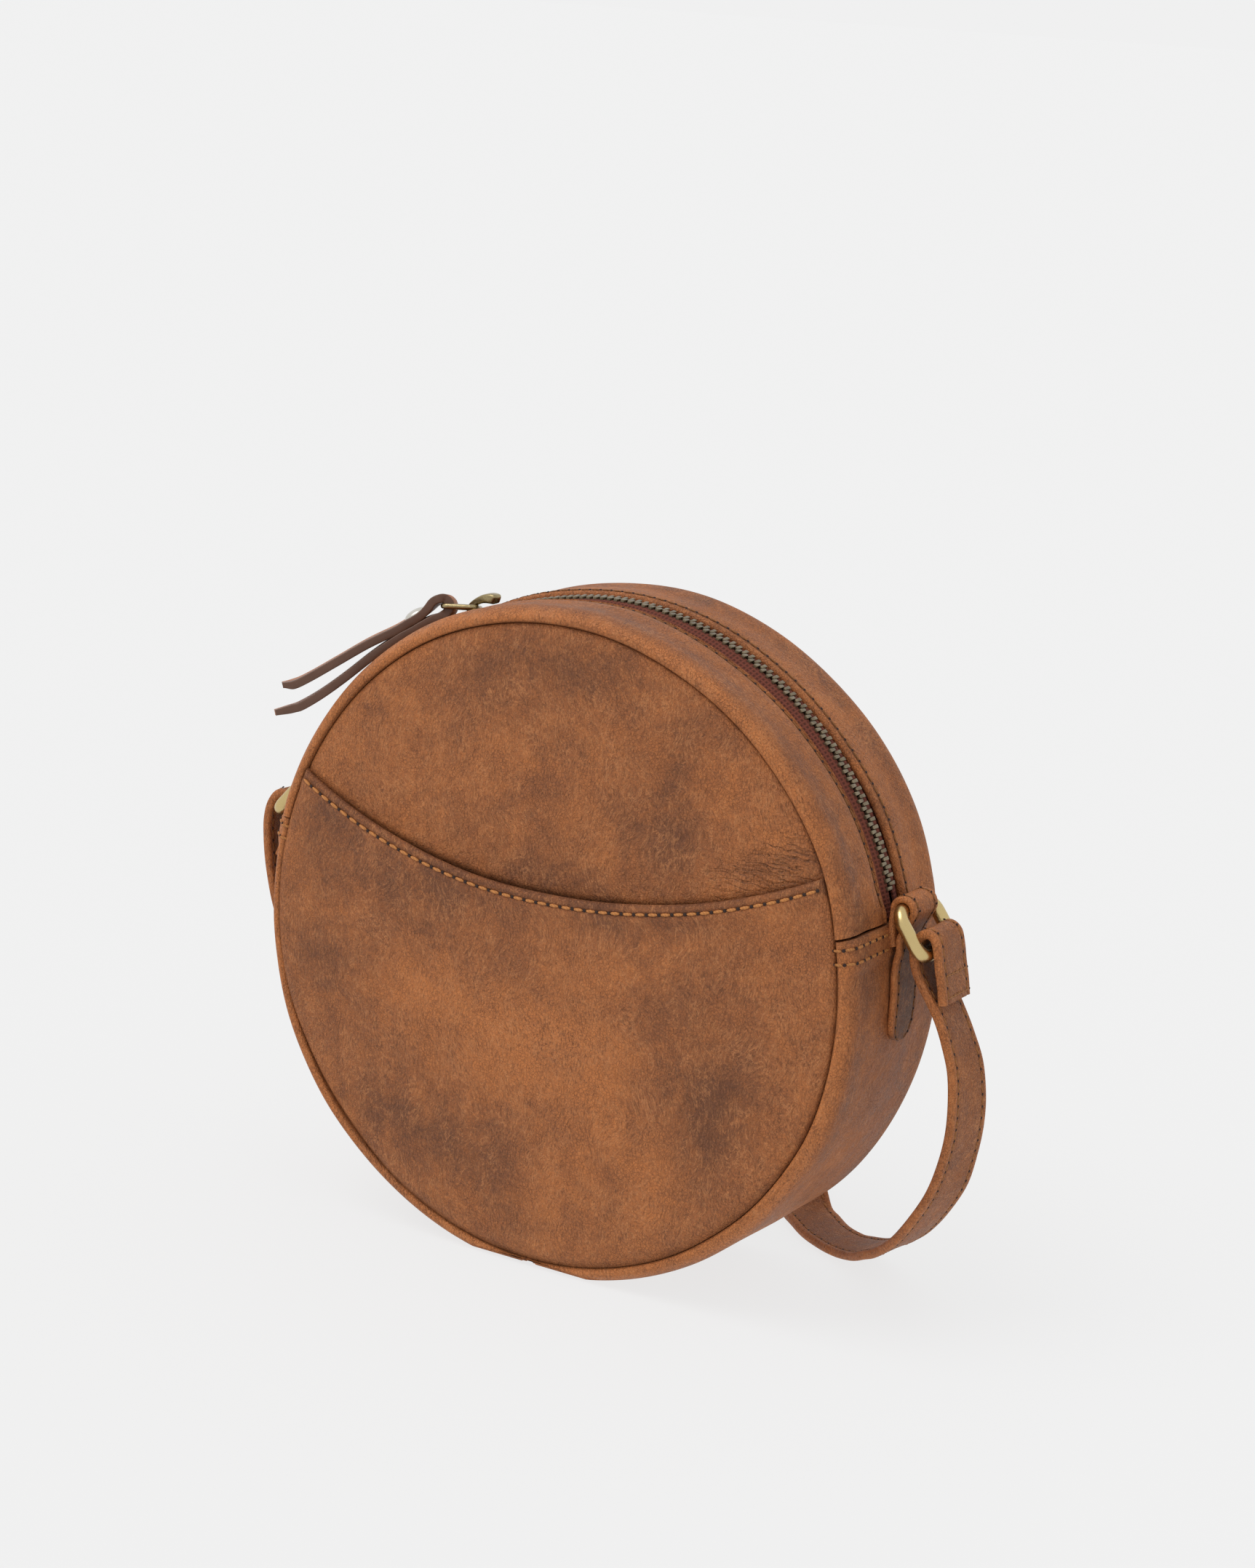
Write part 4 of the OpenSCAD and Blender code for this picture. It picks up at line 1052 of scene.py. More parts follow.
def make_lower_gusset(name, hand):
    """One half of the lower gusset, from the seam at its foot up; hand is 1 for the right, -1 for the left."""
    seam_x, foot_z = 0.06, 0.15
    wall = [(BODY_R, -ROLL_C_H + 2 * ROLL_C_H * i / 34) for i in range(1, 34)]
    front = roll_profile(0) + [(SEAM_R, FLANGE_H), (SEAM_R + LEATHER, FLANGE_H)]
    front += roll_profile(LEATHER, 5, 5)[::-1]
    bm = spun(wall + front + [(r, -y) for r, y in reversed(front)], -90, ZIP_END, 150)

    def shift(p):
        angle, r, y = disc_angle(p), disc_radius(p), p.y
        skin = r > BODY_R - OUTER_SKIN
        outer = skin or r > ROLL_C_R and abs(y) > ROLL_C_H
        if skin and abs(y) < ROLL_C_H:
            belly = 0.9 * math.cos(math.pi * y / (2 * ROLL_C_H)) * eased(-78, -40, angle)
            belly *= 1 - eased(-4, 8, angle)
            r += belly * (0.5 + noise.noise(Vector((angle / 16, y / 30, 2))))
        if outer:
            r += fold_lift(angle) * eased(HALF_DEPTH, ROLL_C_H + 3, abs(y)) - 0.7 * hump(angle, -90, 0.5)
        q = softened(on_disc(angle, r, y))
        return Vector((max(q.x, seam_x), q.y, max(q.z, foot_z if r > BODY_R - 1 else LEATHER)))

    moved(bm, shift)
    if hand < 0:
        bmesh.ops.mirror(bm, geom=bm.verts[:] + bm.edges[:] + bm.faces[:], axis="X", merge_dist=0)
        bmesh.ops.delete(bm, geom=[v for v in bm.verts if v.co.x > 0], context="VERTS")
    # Lighter along the fold's edge at the side seam, a rubbed edge with a painted highlight; painted shade in
    # the seams and under the stitches
    finish_mesh(bm, crease=side_seam_crease, tone=gusset_tone,
                worn=lambda p: 0.8 * hump(angle_up(p), 12.2, 0.5) * eased(31, 28, abs(p.y)))
    piece(name, bm, finish_of("body_leather"), "shell", [name])


def angle_up(p):
    """The angle above the horizontal on either hand."""
    return math.degrees(math.atan2(p.z - CENTRE_Z, abs(p.x)))


def side_seam_crease(p):
    """Painted shade in the seams at the roll, at the foot and at the upper end, and under the two rows of
    stitches.
    """
    a = angle_up(p)
    rows = sum(0.28 * hump(a, row, 0.25) for row in SIDE_ROWS)
    return min(1.0, roll_seam(p) + rows + 0.9 * hump(a, -90, 0.35) + 0.5 * hump(a, SEAM_ANGLE, 0.12))


class BAG_OT_gusset(bpy.types.Operator):
    """Makes the leather bands round the rim: two beside the zip and two below"""

    bl_idname = "round_bag.gusset"
    bl_label = "Gusset"

    def execute(self, context):
        for name, side in (("front", -1), ("rear", 1)):
            make_zip_gusset(f"zip_gusset_{name}", side)
        for name, hand in (("right", 1), ("left", -1)):
            make_lower_gusset(f"lower_gusset_{name}", hand)
        return {"FINISHED"}


class BAG_OT_lining(bpy.types.Operator):
    """Makes the drop-in lining and gives the boards their finish"""

    bl_idname = "round_bag.lining"
    bl_label = "Lining and boards"

    def execute(self, context):
        inner_r = LINING_R - LINING_T
        face = [(LINING_R * i / 30, LINING_H) for i in range(31)]
        face += [(LINING_R * (1 - i / 30), LINING_H - LINING_T) for i in range(31)]
        for name, side in (("front", -1), ("back", 1)):
            bm = spun(face, 0, 360, 90, closed=False)
            moved(bm, lambda p, side=side: self.hung(Vector((p.x, side * p.y, p.z))))
            self.keep(name, bm)

        wall = [LINING_WALL_H * (2 * i / 14 - 1) for i in range(15)]
        bm = spun([(LINING_R, y) for y in wall] + [(inner_r, -y) for y in wall], -180 - ZIP_END, ZIP_END, 120)
        moved(bm, self.hung)
        self.keep("lower", bm)

        under = CHAIN_R - 0.5
        upper = [(inner_r, LINING_WALL_H), (LINING_R, LINING_WALL_H), (LINING_R, 14.8), (under, 13.2),
                 (under, 7.5), (under - LINING_T, 7.5), (under - LINING_T, 12.4), (inner_r, 14)]
        for name, side in (("upper_front", -1), ("upper_rear", 1)):
            bm = spun(upper, ZIP_END + 0.5, 179.5 - ZIP_END, 110)
            moved(bm, lambda p, side=side: softened(Vector((p.x, side * p.y, p.z))))
            self.keep(name, bm)

        for name in ("front_board", "back_board", "gusset_board"):
            dress(name, "board")
        return {"FINISHED"}

    def hung(self, p):
        """Cloth that hangs a little slack, in waves towards the middle."""
        inward = Vector((0, 0, CENTRE_Z)) - p
        return p + inward.normalized() * max(0.0, 1.6 * (0.5 + noise.noise(p / 21)))

    def keep(self, name, bm):
        finish_mesh(bm)
        piece(f"lining_{name}", bm, finish_of("lining"), "shell", [f"lining_{name}"])


def dress(node, finish):
    """Gives a piece of the frame its finish."""
    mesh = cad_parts[node].data
    mesh.materials.clear()
    mesh.materials.append(finish_of(finish))


def spread(angle):
    """How far each row of teeth stands aside: closed to the right of the slider and open to its left."""
    if angle <= SLIDER_ANGLE:
        return 0.0
    near = 1 - math.exp((SLIDER_ANGLE - angle) / 1.8)
    return OPEN_SPREAD * near * (0.35 + 0.65 * (1 - math.exp((angle - LAST_TOOTH) / 8)))


def at_angle(angle, r):
    """The place at an angle of the disc: X points outwards and Z along the zip to the left."""
    return (Matrix.Translation((0, 0, CENTRE_Z)) @ Matrix.Rotation(math.radians(-angle), 4, "Y")
            @ Matrix.Translation((r, 0, 0)))


def lift(angle):
    """How far the chain stands above its place in the frame: most on the right, where the tape lies bare."""
    return SLIDER_LIFT + (CHAIN_LIFT - SLIDER_LIFT) * eased(LIP_FULL, 84, angle)


def tape(side):
    """One tape with a thickened edge under the teeth. It rises with the teeth, and lies flat farther out."""
    start, end = ZIP_END + 0.6, 179.4 - ZIP_END
    uv_size = (0.026, 0.29)
    half = [(TAPE_EDGE, 1), (2.6, 1), (5.0, 0.6), (6.8, 0.2), (TAPE_FLAT, 0), (TAPE_W, 0)]
    section = [(TAPE_EDGE, 1, -TAPE_HALF_T)] + [(y, share, TAPE_HALF_T) for y, share in half]
    section += [(y, share, -TAPE_HALF_T) for y, share in reversed(half[1:])]

    def place(u, v):
        angle = start + (end - start) * v
        y, share, h = section[round(u * len(section)) % len(section)]
        aside = spread(min(angle, LAST_TOOTH)) * (1 - eased(4.5, TAPE_W, y))
        p = on_disc(angle, CHAIN_R + (h + share * lift(angle)), side * (y + aside))
        return p + wander(p) * eased(6, 11, abs(p.y))

    return formed(len(section), 200, place, uv_size)


def tooth(angle, side, shift):
    """A cast tooth: a block whose head is waisted and whose edges are rubbed round."""
    bm = block(TOOTH_H, TOOTH_L, TOOTH_W)
    bmesh.ops.translate(bm, vec=(0, TOOTH_REACH - TOOTH_L / 2, 0), verts=bm.verts[:])
    bmesh.ops.scale(bm, vec=(0.86, 1, 0.82), verts=[v for v in bm.verts if v.co.y > 0])
    rounded(bm, bm.edges[:], 0.22)
    if side > 0:
        bmesh.ops.scale(bm, vec=(1, -1, 1), verts=bm.verts[:])
        bmesh.ops.reverse_faces(bm, faces=bm.faces[:])
    place = at_angle(angle, CHAIN_R + lift(angle)) @ Matrix.Translation((0, side * shift, 0))
    bmesh.ops.transform(bm, matrix=place, verts=bm.verts[:])
    return bm


def teeth(side, offset):
    """A row of teeth, moved along by a share of their pitch."""
    count = int((LAST_TOOTH - FIRST_TOOTH) / PITCH_ANGLE)
    angles = [FIRST_TOOTH + (i + offset) * PITCH_ANGLE for i in range(count)]
    return joined([tooth(angle, side, spread(angle)) for angle in angles])


class BAG_OT_zip(bpy.types.Operator):
    """Makes the zip's tapes and teeth and gives its stops their finish"""

    bl_idname = "round_bag.zip"
    bl_label = "Zip"

    def execute(self, context):
        for name, side, offset in (("front", -1, 0.0), ("rear", 1, 0.5)):
            piece(f"zip_tape_{name}", tape(side), finish_of("tape"), "shell", [f"zip_tape_{name}"])
            piece(f"zip_teeth_{name}", teeth(side, offset), finish_of("bronze"), "shell",
                  [f"zip_teeth_{name}"], sharp=30)
        dress("zip_top_stops", "bronze")
        dress("zip_bottom_stop", "bronze")
        return {"FINISHED"}


def slider_plate(level):
    """One plate of the slider, rounded at its corners, with a flange down each side."""
    plate = block(PLATE_T, SLIDER_W, SLIDER_L)
    rounded(plate, [e for e in plate.edges if abs(e.verts[0].co.x - e.verts[1].co.x) > 0.1], 2.4, 6)
    rounded(plate, [e for e in plate.edges if e.calc_face_angle(0) > 1.0], 0.25)
    bmesh.ops.translate(plate, vec=(level, 0, 0), verts=plate.verts[:])
    parts = [plate]
    inward = math.copysign(PLATE_FLANGE / 2, level)
    for y in (-RAIL_Y, RAIL_Y):
        rail = block(PLATE_FLANGE, 0.56, 6.4)
        rounded(rail, rail.edges[:], 0.15)
        bmesh.ops.translate(rail, vec=(level - inward, y, 0), verts=rail.verts[:])
        parts.append(rail)
    return parts


def hook():
    """The slider's open hook: a thick arm that rises on the left and curls down to a free end on the right."""
    steps = 36
    path = smoothed([Vector((h, 0, s)) for h, s in (
        (-0.3, 3.3), (1.2, 3.6), (2.8, 3.1), (4.0, 1.8), (4.5, 0), (4.6, -2), (4.4, -4), (3.9, -5.8),
        (3.1, -7.4), (2.1, -8.5))], steps)

    def swell(i, a, b):
        """Thicker towards the free end, and rounded off at it."""
        share = i / steps
        end = math.sqrt(max(0.1, 1 - (max(0.0, share - 0.9) / 0.1) ** 2))
        wide = (0.95 + 0.75 * eased(0.35, 0.85, share)) * end
        return a * wide, b * (1.05 + 0.65 * eased(0.4, 0.85, share)) * end

    bm = swept(path, [Vector((0, 1, 0))] * len(path), rounded_section(1.3, 0.95, 0.5), scale_of=swell)
    bmesh.ops.translate(bm, vec=(PLATE_X + PLATE_T - SLIDER_LIFT, 0, 0), verts=bm.verts[:])
    return bm


def wire_ring(run, width, corner, wire, matrix):
    """A closed wire ring; one bar lies on the Y axis and the ring runs along +X."""
    side = width / 2
    path = []
    for cx, cy, first in ((corner, corner - side, 180), (run - corner, corner - side, 270),
                          (run - corner, side - corner, 0), (corner, side - corner, 90)):
        for i in range(11):
            a = math.radians(first + 9 * i)
            path.append(Vector((cx + corner * math.cos(a), cy + corner * math.sin(a), 0)))
    turns = [2 * math.pi * i / 20 for i in range(20)]
    section = [(wire / 2 * math.cos(a), wire / 2 * math.sin(a)) for a in turns]
    bm = swept(path, [Vector((0, 0, 1))] * len(path), section, closed=True)
    bmesh.ops.transform(bm, matrix=matrix, verts=bm.verts[:])
    return bm


def pull_ring_place():
    """The ring's hinge in the hook: X runs along the ring and Y along its bars."""
    return (at_angle(SLIDER_ANGLE, BAR_R) @ Matrix.Rotation(math.radians(HOOK_LEAN), 4, "X")
            @ Matrix.Rotation(math.pi, 4, Vector((1, 0, 1)).normalized())
            @ Matrix.Rotation(math.radians(-PULL_RING_DIP), 4, "Y"))


def puller_place():
    """The puller's hinge on the ring's far bar: X runs along the puller."""
    return (pull_ring_place() @ Matrix.Translation((PULL_RING_L, 0, 0))
            @ Matrix.Rotation(math.radians(PULL_RING_DIP + PULLER_DIP), 4, "Y"))


class BAG_OT_slider(bpy.types.Operator):
    """Makes the slider with its hook, the puller's ring, its folded leather and its rivet"""

    bl_idname = "round_bag.slider"
    bl_label = "Slider and puller"

    def execute(self, context):
        wedge = block(2 * PLATE_X + PLATE_T, 0.9, 2.2)
        bmesh.ops.translate(wedge, vec=(0, 0, 3.7), verts=wedge.verts[:])
        level = PLATE_X + PLATE_T / 2
        body = joined(slider_plate(level) + slider_plate(-level) + [wedge, hook()])
        bmesh.ops.transform(body, matrix=at_angle(SLIDER_ANGLE, CHAIN_R + SLIDER_LIFT), verts=body.verts[:])
        piece("zip_slider", body, finish_of("antique"), "slider", ["zip_slider"], sharp=35)
        ring = wire_ring(PULL_RING_L, PULL_RING_W, PULL_CORNER, PULL_WIRE, pull_ring_place())
        piece("puller_ring", ring, finish_of("antique"), "pull_ring", ["puller_ring"])
        self.leather()
        self.rivet()
        return {"FINISHED"}

    def leather(self):
        """Folds the strip round its ring; its tails are cut on a slant and painted along their edges."""
        path = smoothed([Vector((x, 0, z)) for x, z in PULLER_LINE], PULLER_STEPS)

        def cut(i, a, b):
            """Narrower round the ring, and thinner where each end was pinched off."""
            share = min(i, PULLER_STEPS - i) / PULLER_STEPS
            b = b * (0.7 + 0.3 * eased(0.0, 0.035, share)) * (1 + 0.1 * eased(0.4, 0.45, share))
            return a * (1 - 0.2 * eased(0.41, 0.46, share)), b

        twist = [math.radians(PULL_TWIST) * eased(0, 9, p.x) for p in path]
        bm = swept(path, [Vector((0, math.cos(a), math.sin(a))) for a in twist],
                   rounded_section(PULLER_W / 2, PULLER_T / 2, 0.45), scale_of=cut)
        for v in bm.verts:
            v.co.x -= eased(55, 63, v.co.x) * 2.6 * (v.co.y + PULLER_W / 2) / PULLER_W
        tagged(bm, "edge", lambda p: 1.0 if abs(p.y) > (3.3 if p.x < 2 else 3.95) else 0.0)
        bmesh.ops.transform(bm, matrix=puller_place(), verts=bm.verts[:])
        piece("puller_strap", bm, finish_of("puller_leather"), "puller", ["puller_strap"])

    def rivet(self):
        """A domed cap above the leather and a flatter head below, each with its half of the shank."""
        place = (puller_place() @ Matrix.Translation((RIVET_AT, 0, 0))
                 @ Matrix.Rotation(math.radians(PULL_TWIST), 4, "X"))
        shank_r, shank_l, edge_t = 1.4, 2.6, 0.1
        turns = [math.pi / 2 * i / 8 for i in range(9)]
        for name, rim, rise, turn in (("rivet_cap", 3.8, 1.5, 0), ("rivet_post", 3.0, 0.8, math.pi)):
            bm = bmesh.new()
            profile = [(rim * math.sin(a), rise * math.cos(a)) for a in turns]
            profile += [(rim, -edge_t), (shank_r, -edge_t), (shank_r, -shank_l), (0, -shank_l)]
            ring = [bm.verts.new((r, 0, RIVET_SEAT + h)) for r, h in profile]
            edges = [bm.edges.new(pair) for pair in zip(ring, ring[1:])]
            bmesh.ops.spin(bm, geom=ring + edges, cent=(0, 0, 0), axis=(0, 0, 1), angle=2 * math.pi, steps=40,
                           use_merge=True)
            bmesh.ops.remove_doubles(bm, verts=bm.verts[:], dist=WELD)
            bmesh.ops.recalc_face_normals(bm, faces=bm.faces[:])
            bmesh.ops.transform(bm, matrix=place @ Matrix.Rotation(turn, 4, "X"), verts=bm.verts[:])
            piece(name, bm, finish_of("nickel"), "puller", [name], sharp=40)


def tab_line():
    """The tab's middle line in the disc's plane, from the tongue's tip up, round the ring's bar and back."""
    low, high = TAB_SEAT_R + TAB_T / 2, TAB_SEAT_R + 1.5 * TAB_T
    loop = 2.35 + TAB_T / 2
    points = [on_disc(a, low, 0) for a in (-6.6, -4.5, -2, 0.5, 3, 5)]
    points += [on_disc(a, r, 0) for a, r in ((7, low + 0.7), (9, high), (11, high + 0.6))]
    bar = Vector((BAR_X, 0, CENTRE_Z + BAR_Z))
    for turn in (-32, 0, 40, 80, 120, 160, 195):
        a = math.radians(turn)
        points.append(bar + loop * Vector((math.cos(a), 0, math.sin(a))))
    points += [on_disc(a, r, 0) for a, r in ((13.2, low + 0.35), (11.4, low), (9.6, low))]
    return smoothed(points, TAB_STEPS)


def make_tab(name, hand):
    """A strip folded round the ring's bar, whose longer end is a tongue that lies on the gusset."""
    path = tab_line()
    reach = reaches(path)
    half = TAB_W / 2
    rows = [(0.0, 1.0), (0.35, 1.0), (0.62, 1.0), (TAB_ROW, 0.86), (0.78, 1.0), (0.9, 1.08), (0.97, 0.8),
            (1.0, 0.35), (1.0, -0.35), (0.97, -0.8), (0.88, -1.0), (0.4, -1.0), (0.0, -1.0)]

    def tip(i, a, b):
        """Rounds the tongue's end."""
        left = reach[i] + 0.25
        if left < half:
            a *= math.sqrt(max(0.02, 1 - (1 - left / half) ** 2))
        return a, b

    bm = swept(path, [Vector((0, 1, 0))] * len(path), band_section(rows, half, TAB_T / 2), scale_of=tip)
    bmesh.ops.scale(bm, vec=(hand, 1, 1), verts=bm.verts[:])

    def tone(p):
        """Dark between the stitches of the tongue, lighter over the loop."""
        inside = 1 - eased(0.6, 0.75, abs(p.y) / half)
        return -0.9 * inside * eased(12, 8, angle_up(p)) + 0.3 * eased(14, 17, angle_up(p))

    # Lighter towards the edges where rubbed, and painted shade along the rows of stitches
    finish_mesh(bm, worn=lambda p: 0.9 * eased(0.74, 0.9, abs(p.y) / half), tone=tone,
                crease=lambda p: 0.4 * hump(abs(p.y) / half, TAB_ROW, 0.04))
    piece(name, bm, finish_of("tongue_leather"), "shell", [name])


def strap_halves():
    """The strap's two halves, each with its stations and a tuple of the shell, its ring and two heights, handed
    to piece as its body.
    """
    path, sides = strap_stations()
    middle = STRAP_MIDDLE * STATIONS
    for hand, side, part in ((1, "right", slice(0, middle + 1)), (-1, "left", slice(middle, None))):
        low, high = (Vector((hand * BAR_X, 0, z)) * MM for z in (STRAP_LIES, STRAP_HANGS))
        yield side, path[part], sides[part], ("shell", f"strap_ring_{side}", low, high)


def strap_stations():
    """The strap's middle line, and the way its width points at each station of it."""
    return [smoothed([Vector(row[part]) for row in STRAP_ROUTE], (len(STRAP_ROUTE) - 1) * STATIONS)
            for part in (0, 1)]


def strap_section():
    """The strap's section: turned and rounded edges, a stitched groove inside each, and a flat middle."""
    upper = [(0.0, 0.94), (0.4, 0.96), (0.66, 1.0), (STRAP_ROW, 0.82), (0.80, 1.02), (0.90, 1.06),
             (0.965, 0.86), (1.0, 0.42)]
    return band_section(upper + [(w, -t) for w, t in reversed(upper)], STRAP_W / 2, STRAP_T / 2)


class BAG_OT_strap(bpy.types.Operator):
    """Makes the tabs, the rings and the shoulder strap"""

    bl_idname = "round_bag.strap"
    bl_label = "Strap and rings"

    def execute(self, context):
        for hand, side, lean in ((1, "right", 53), (-1, "left", 48)):
            make_tab(f"tab_{side}", hand)
            place = (Matrix.Translation((hand * BAR_X, 0, CENTRE_Z + BAR_Z))
                     @ Matrix.Rotation(math.radians(hand * lean), 4, "Y"))
            ring = wire_ring(RING_L, RING_W, RING_CORNER, RING_WIRE, Matrix.Identity(4))
            bmesh.ops.scale(ring, vec=(hand, 1, 1), verts=ring.verts[:])
            bmesh.ops.transform(ring, matrix=place, verts=ring.verts[:])
            finish_mesh(ring)
            piece(f"ring_{side}", ring, finish_of("brass"), f"strap_ring_{side}",
                  [f"ring_{side}"])
        for side, path, sides, bend in strap_halves():
            bm = swept(path, sides, strap_section())
            self.tag_strap(bm, path, sides)
            piece(f"strap_{side}", bm, finish_of("strap_leather"), bend, ["strap"])
        return {"FINISHED"}

    def tag_strap(self, bm, path, sides):
        """Marks the rubbed edges, and the painted shade in the stitched grooves, by how far a point lies from
        the strap's middle line.
        """
        tree = kdtree.KDTree(len(path))
        for i, p in enumerate(path):
            tree.insert(p, i)
        tree.balance()

        def share(p):
            i = tree.find(p)[1]
            return abs((p - path[i]).dot(sides[i].normalized())) / (STRAP_W / 2)

        tagged(bm, "worn", lambda p: 0.75 * eased(0.76, 0.92, share(p)))
        tagged(bm, "crease", lambda p: 0.45 * hump(share(p), STRAP_ROW, 0.03))
        tagged(bm, "tone", lambda p: -0.35 * (1 - eased(0.6, 0.76, share(p))))


def stitch_row(seats, run=None, width=None, hole_size=1.0):
    """Stitches on seats of (point, way along, way up), each ending in a dark disc of painted shade where the
    needle went in.
    """
    look = settings().thread
    run = run or look.pitch / MM
    width = width or look.width / MM
    one = bmesh.new()
    hole_shade = one.verts.layers.float.new("hole_shade")
    bmesh.ops.create_uvsphere(one, u_segments=8, v_segments=6, radius=1,
                              matrix=Matrix.Diagonal((run * 0.40, width / 2, width / 2, 1)))
    # A flat, nearly black disc at the stitch's end: painted shade where the needle went in
    dark = bmesh.ops.create_uvsphere(one, u_segments=8, v_segments=4, radius=1, matrix=Matrix.Translation(
        (run * 0.5, 0, 0.04)) @ Matrix.Diagonal((0.66 * hole_size, 0.58 * hole_size, 0.26, 1)))
    for v in dark["verts"]:
        v[hole_shade] = 1.0
    stitch = bpy.data.meshes.new("stitch")
    one.to_mesh(stitch)
    one.free()
    bm = bmesh.new()
    for _ in seats:
        bm.from_mesh(stitch)
    count = len(stitch.vertices)
    bpy.data.meshes.remove(stitch)
    bm.verts.ensure_lookup_table()
    for i, (p, along, up) in enumerate(seats):
        along = along.normalized()
        up = (up - up.dot(along) * along).normalized()
        seat = Matrix((along, up.cross(along), up)).transposed().to_4x4()
        seat.translation = p
        for v in bm.verts[i * count:(i + 1) * count]:
            v.co = seat @ v.co
    return bm


def seats_on(line, up_of, pitch, start=0.0, end=None):
    """Seats at even distances along a line of points; up_of gives the way up at one of them."""
    reach = reaches(line)
    span = (end or reach[-1]) - start
    count = max(1, round(span / pitch))
    seats, i = [], 0
    for k in range(count + 1):
        d = start + span * k / count
        while reach[i + 1] < d and i < len(line) - 2:
            i += 1
        share = (d - reach[i]) / max(1e-9, reach[i + 1] - reach[i])
        p = line[i].lerp(line[i + 1], share)
        seats.append((p, line[i + 1] - line[i], up_of(i, p)))
    return seats


class BAG_OT_stitches(bpy.types.Operator):
    """Sews every visible row of stitches"""

    bl_idname = "round_bag.stitches"
    bl_label = "Stitches"

    def execute(self, context):
        self.pitch = settings().thread.pitch / MM
        self.zip_rows()
        self.pocket_row()
        self.side_rows()
        self.tab_rows()
        for half in strap_halves():
            self.strap_rows(*half)
        return {"FINISHED"}

    def keep(self, name, seats, replaces=(), finish="thread", body="shell", **sizes):
        """Makes one piece of the stitches on some seats."""
        piece(name, stitch_row(seats, **sizes), finish_of(finish), body, replaces)

    def zip_rows(self):
        """The row in each lip of the zip; the front one goes down and back with its lip."""
        def up(i, p):
            return p - Vector((0, p.y, CENTRE_Z))

        for name, side in (("front", -1), ("rear", 1)):
            line = []
            for i in range(301):
                angle = ZIP_END + 4 + (172 - 2 * ZIP_END) * i / 300
                back = bared(angle) if side < 0 else 0.0
                y = ZIP_EDGE + STITCH_INSET + STITCH_BACK * back
                line.append(softened(on_disc(angle, BODY_R - 0.04 - 1.1 * back, side * y)))
            self.keep(f"thread_zip_{name}", seats_on(line, up, self.pitch * 0.9), [f"thread_zip_{name}"],
                      width=0.62, hole_size=0.8, finish="zip_thread")

    def pocket_row(self):
        """The row along the pocket's turned edge."""
        edge_r = POCKET_EDGE_R + POCKET_INSET
        line = []
        for i in range(201):
            x = POCKET_ROW_START + POCKET_ROW_L * i / 200
            z = POCKET_MIDDLE - math.sqrt(edge_r ** 2 - x * x)
            line.append(softened(Vector((x, -pocket_height(x, z) - 0.62, CENTRE_Z + z))))
        seats = seats_on(line, lambda i, p: Vector((0, -1, 0)), self.pitch)
        self.keep("thread_pocket", seats, ["thread_pocket"], width=1.1)

    def side_rows(self):
        """Two rows under each side seam, from the tab over the roll and down into the seam."""
        near = TAB_W / 2 + 0.8
        band = [(BODY_R, near + (ROLL_C_H - near) * i / 40) for i in range(40)] + roll_profile(0, 24, 24)[:37]
        across = Vector((0, 1, 0))
        seats = []
        for hand in (1, -1):
            for angle in SIDE_ROWS:
                out = on_disc(angle, 1, 0) - on_disc(angle, 0, 0)
                for side in (1, -1):
                    line, ups = [], []
                    for (r, y), (next_r, next_y) in zip(band, band[1:]):
                        raised = r + fold_lift(angle) * eased(HALF_DEPTH, ROLL_C_H + 3, y)
                        q = softened(on_disc(angle, raised, side * y))
                        up = (next_y - y) * out + (r - next_r) * side * across
                        line.append(Vector((hand * q.x, q.y, q.z)))
                        ups.append(Vector((hand * up.x, up.y, up.z)))
                    seats += seats_on(line, lambda i, p, ups=ups: ups[i], self.pitch * 0.9, 1.4)
        self.keep("thread_side_seams", seats, ["thread_side_seams"], finish="seam_thread", run=4.1, width=1.0)

    def tab_rows(self):
        """A row along each edge of the tabs, closed round the tongue's tip."""
        path = tab_line()
        reach = reaches(path)
        half = TAB_W / 2
        seats = []
        for hand in (1, -1):
            for side in (1, -1):
                line, ups = [], []
                for i in range(1, len(path) - 1):
                    way = (path[i + 1] - path[i - 1]).normalized()
                    up = Vector((0, 1, 0)).cross(way)
                    q = path[i] + up * TAB_T / 2 * 0.94
                    inset = half * TAB_ROW
                    if reach[i] < half:
                        inset *= math.sqrt(max(0.0, 1 - (1 - reach[i] / half) ** 2))
                    line.append(Vector((hand * q.x, side * inset, q.z)))
                    ups.append(Vector((hand * up.x, 0, up.z)))
                seats += seats_on(line, lambda i, p, ups=ups: ups[i], 3.6, 1.0, 62)
        self.keep("thread_tabs", seats, finish="zip_thread", run=3.6, width=0.6, hole_size=0.7)

    def strap_rows(self, name, path, sides, bend):
        """A row along each edge of both faces of a strap half, and two across its sewn end."""
        half_w, half_t = STRAP_W / 2, STRAP_T / 2
        frames = []
        for i in range(1, len(path) - 1):
            way = (path[i + 1] - path[i - 1]).normalized()
            side = (sides[i] - sides[i].dot(way) * way).normalized()
            frames.append((path[i], side, side.cross(way)))
        seats = []
        for face in (1, -1):
            for edge in (1, -1):
                line = [p + edge * STRAP_ROW * half_w * side + face * 0.86 * half_t * up
                        for p, side, up in frames]
                ups = [face * up for _, _, up in frames]
                seats += seats_on(line, lambda i, p, ups=ups: ups[i], 4.3, 2.5)
        first = frames[:60] if name == "right" else frames[::-1][:60]
        reach = 0.0
        for (p, side, up), (after, _, _) in zip(first, first[1:]):
            ahead = reach + (after - p).length
            for row in (2.0, 8.5):
                if reach <= row < ahead:
                    out = up if up.x * p.x > 0 else -up
                    line = [p + side * half_w * 0.66 * (k / 10 - 1) + out * 0.94 * half_t for k in range(21)]
                    seats += seats_on(line, lambda i, c, out=out: out, 3.0, 0.8)
            reach = ahead
        self.keep(f"thread_strap_{name}", seats, finish="strap_thread", body=bend, run=4.2, width=0.75,
                  hole_size=0.7)


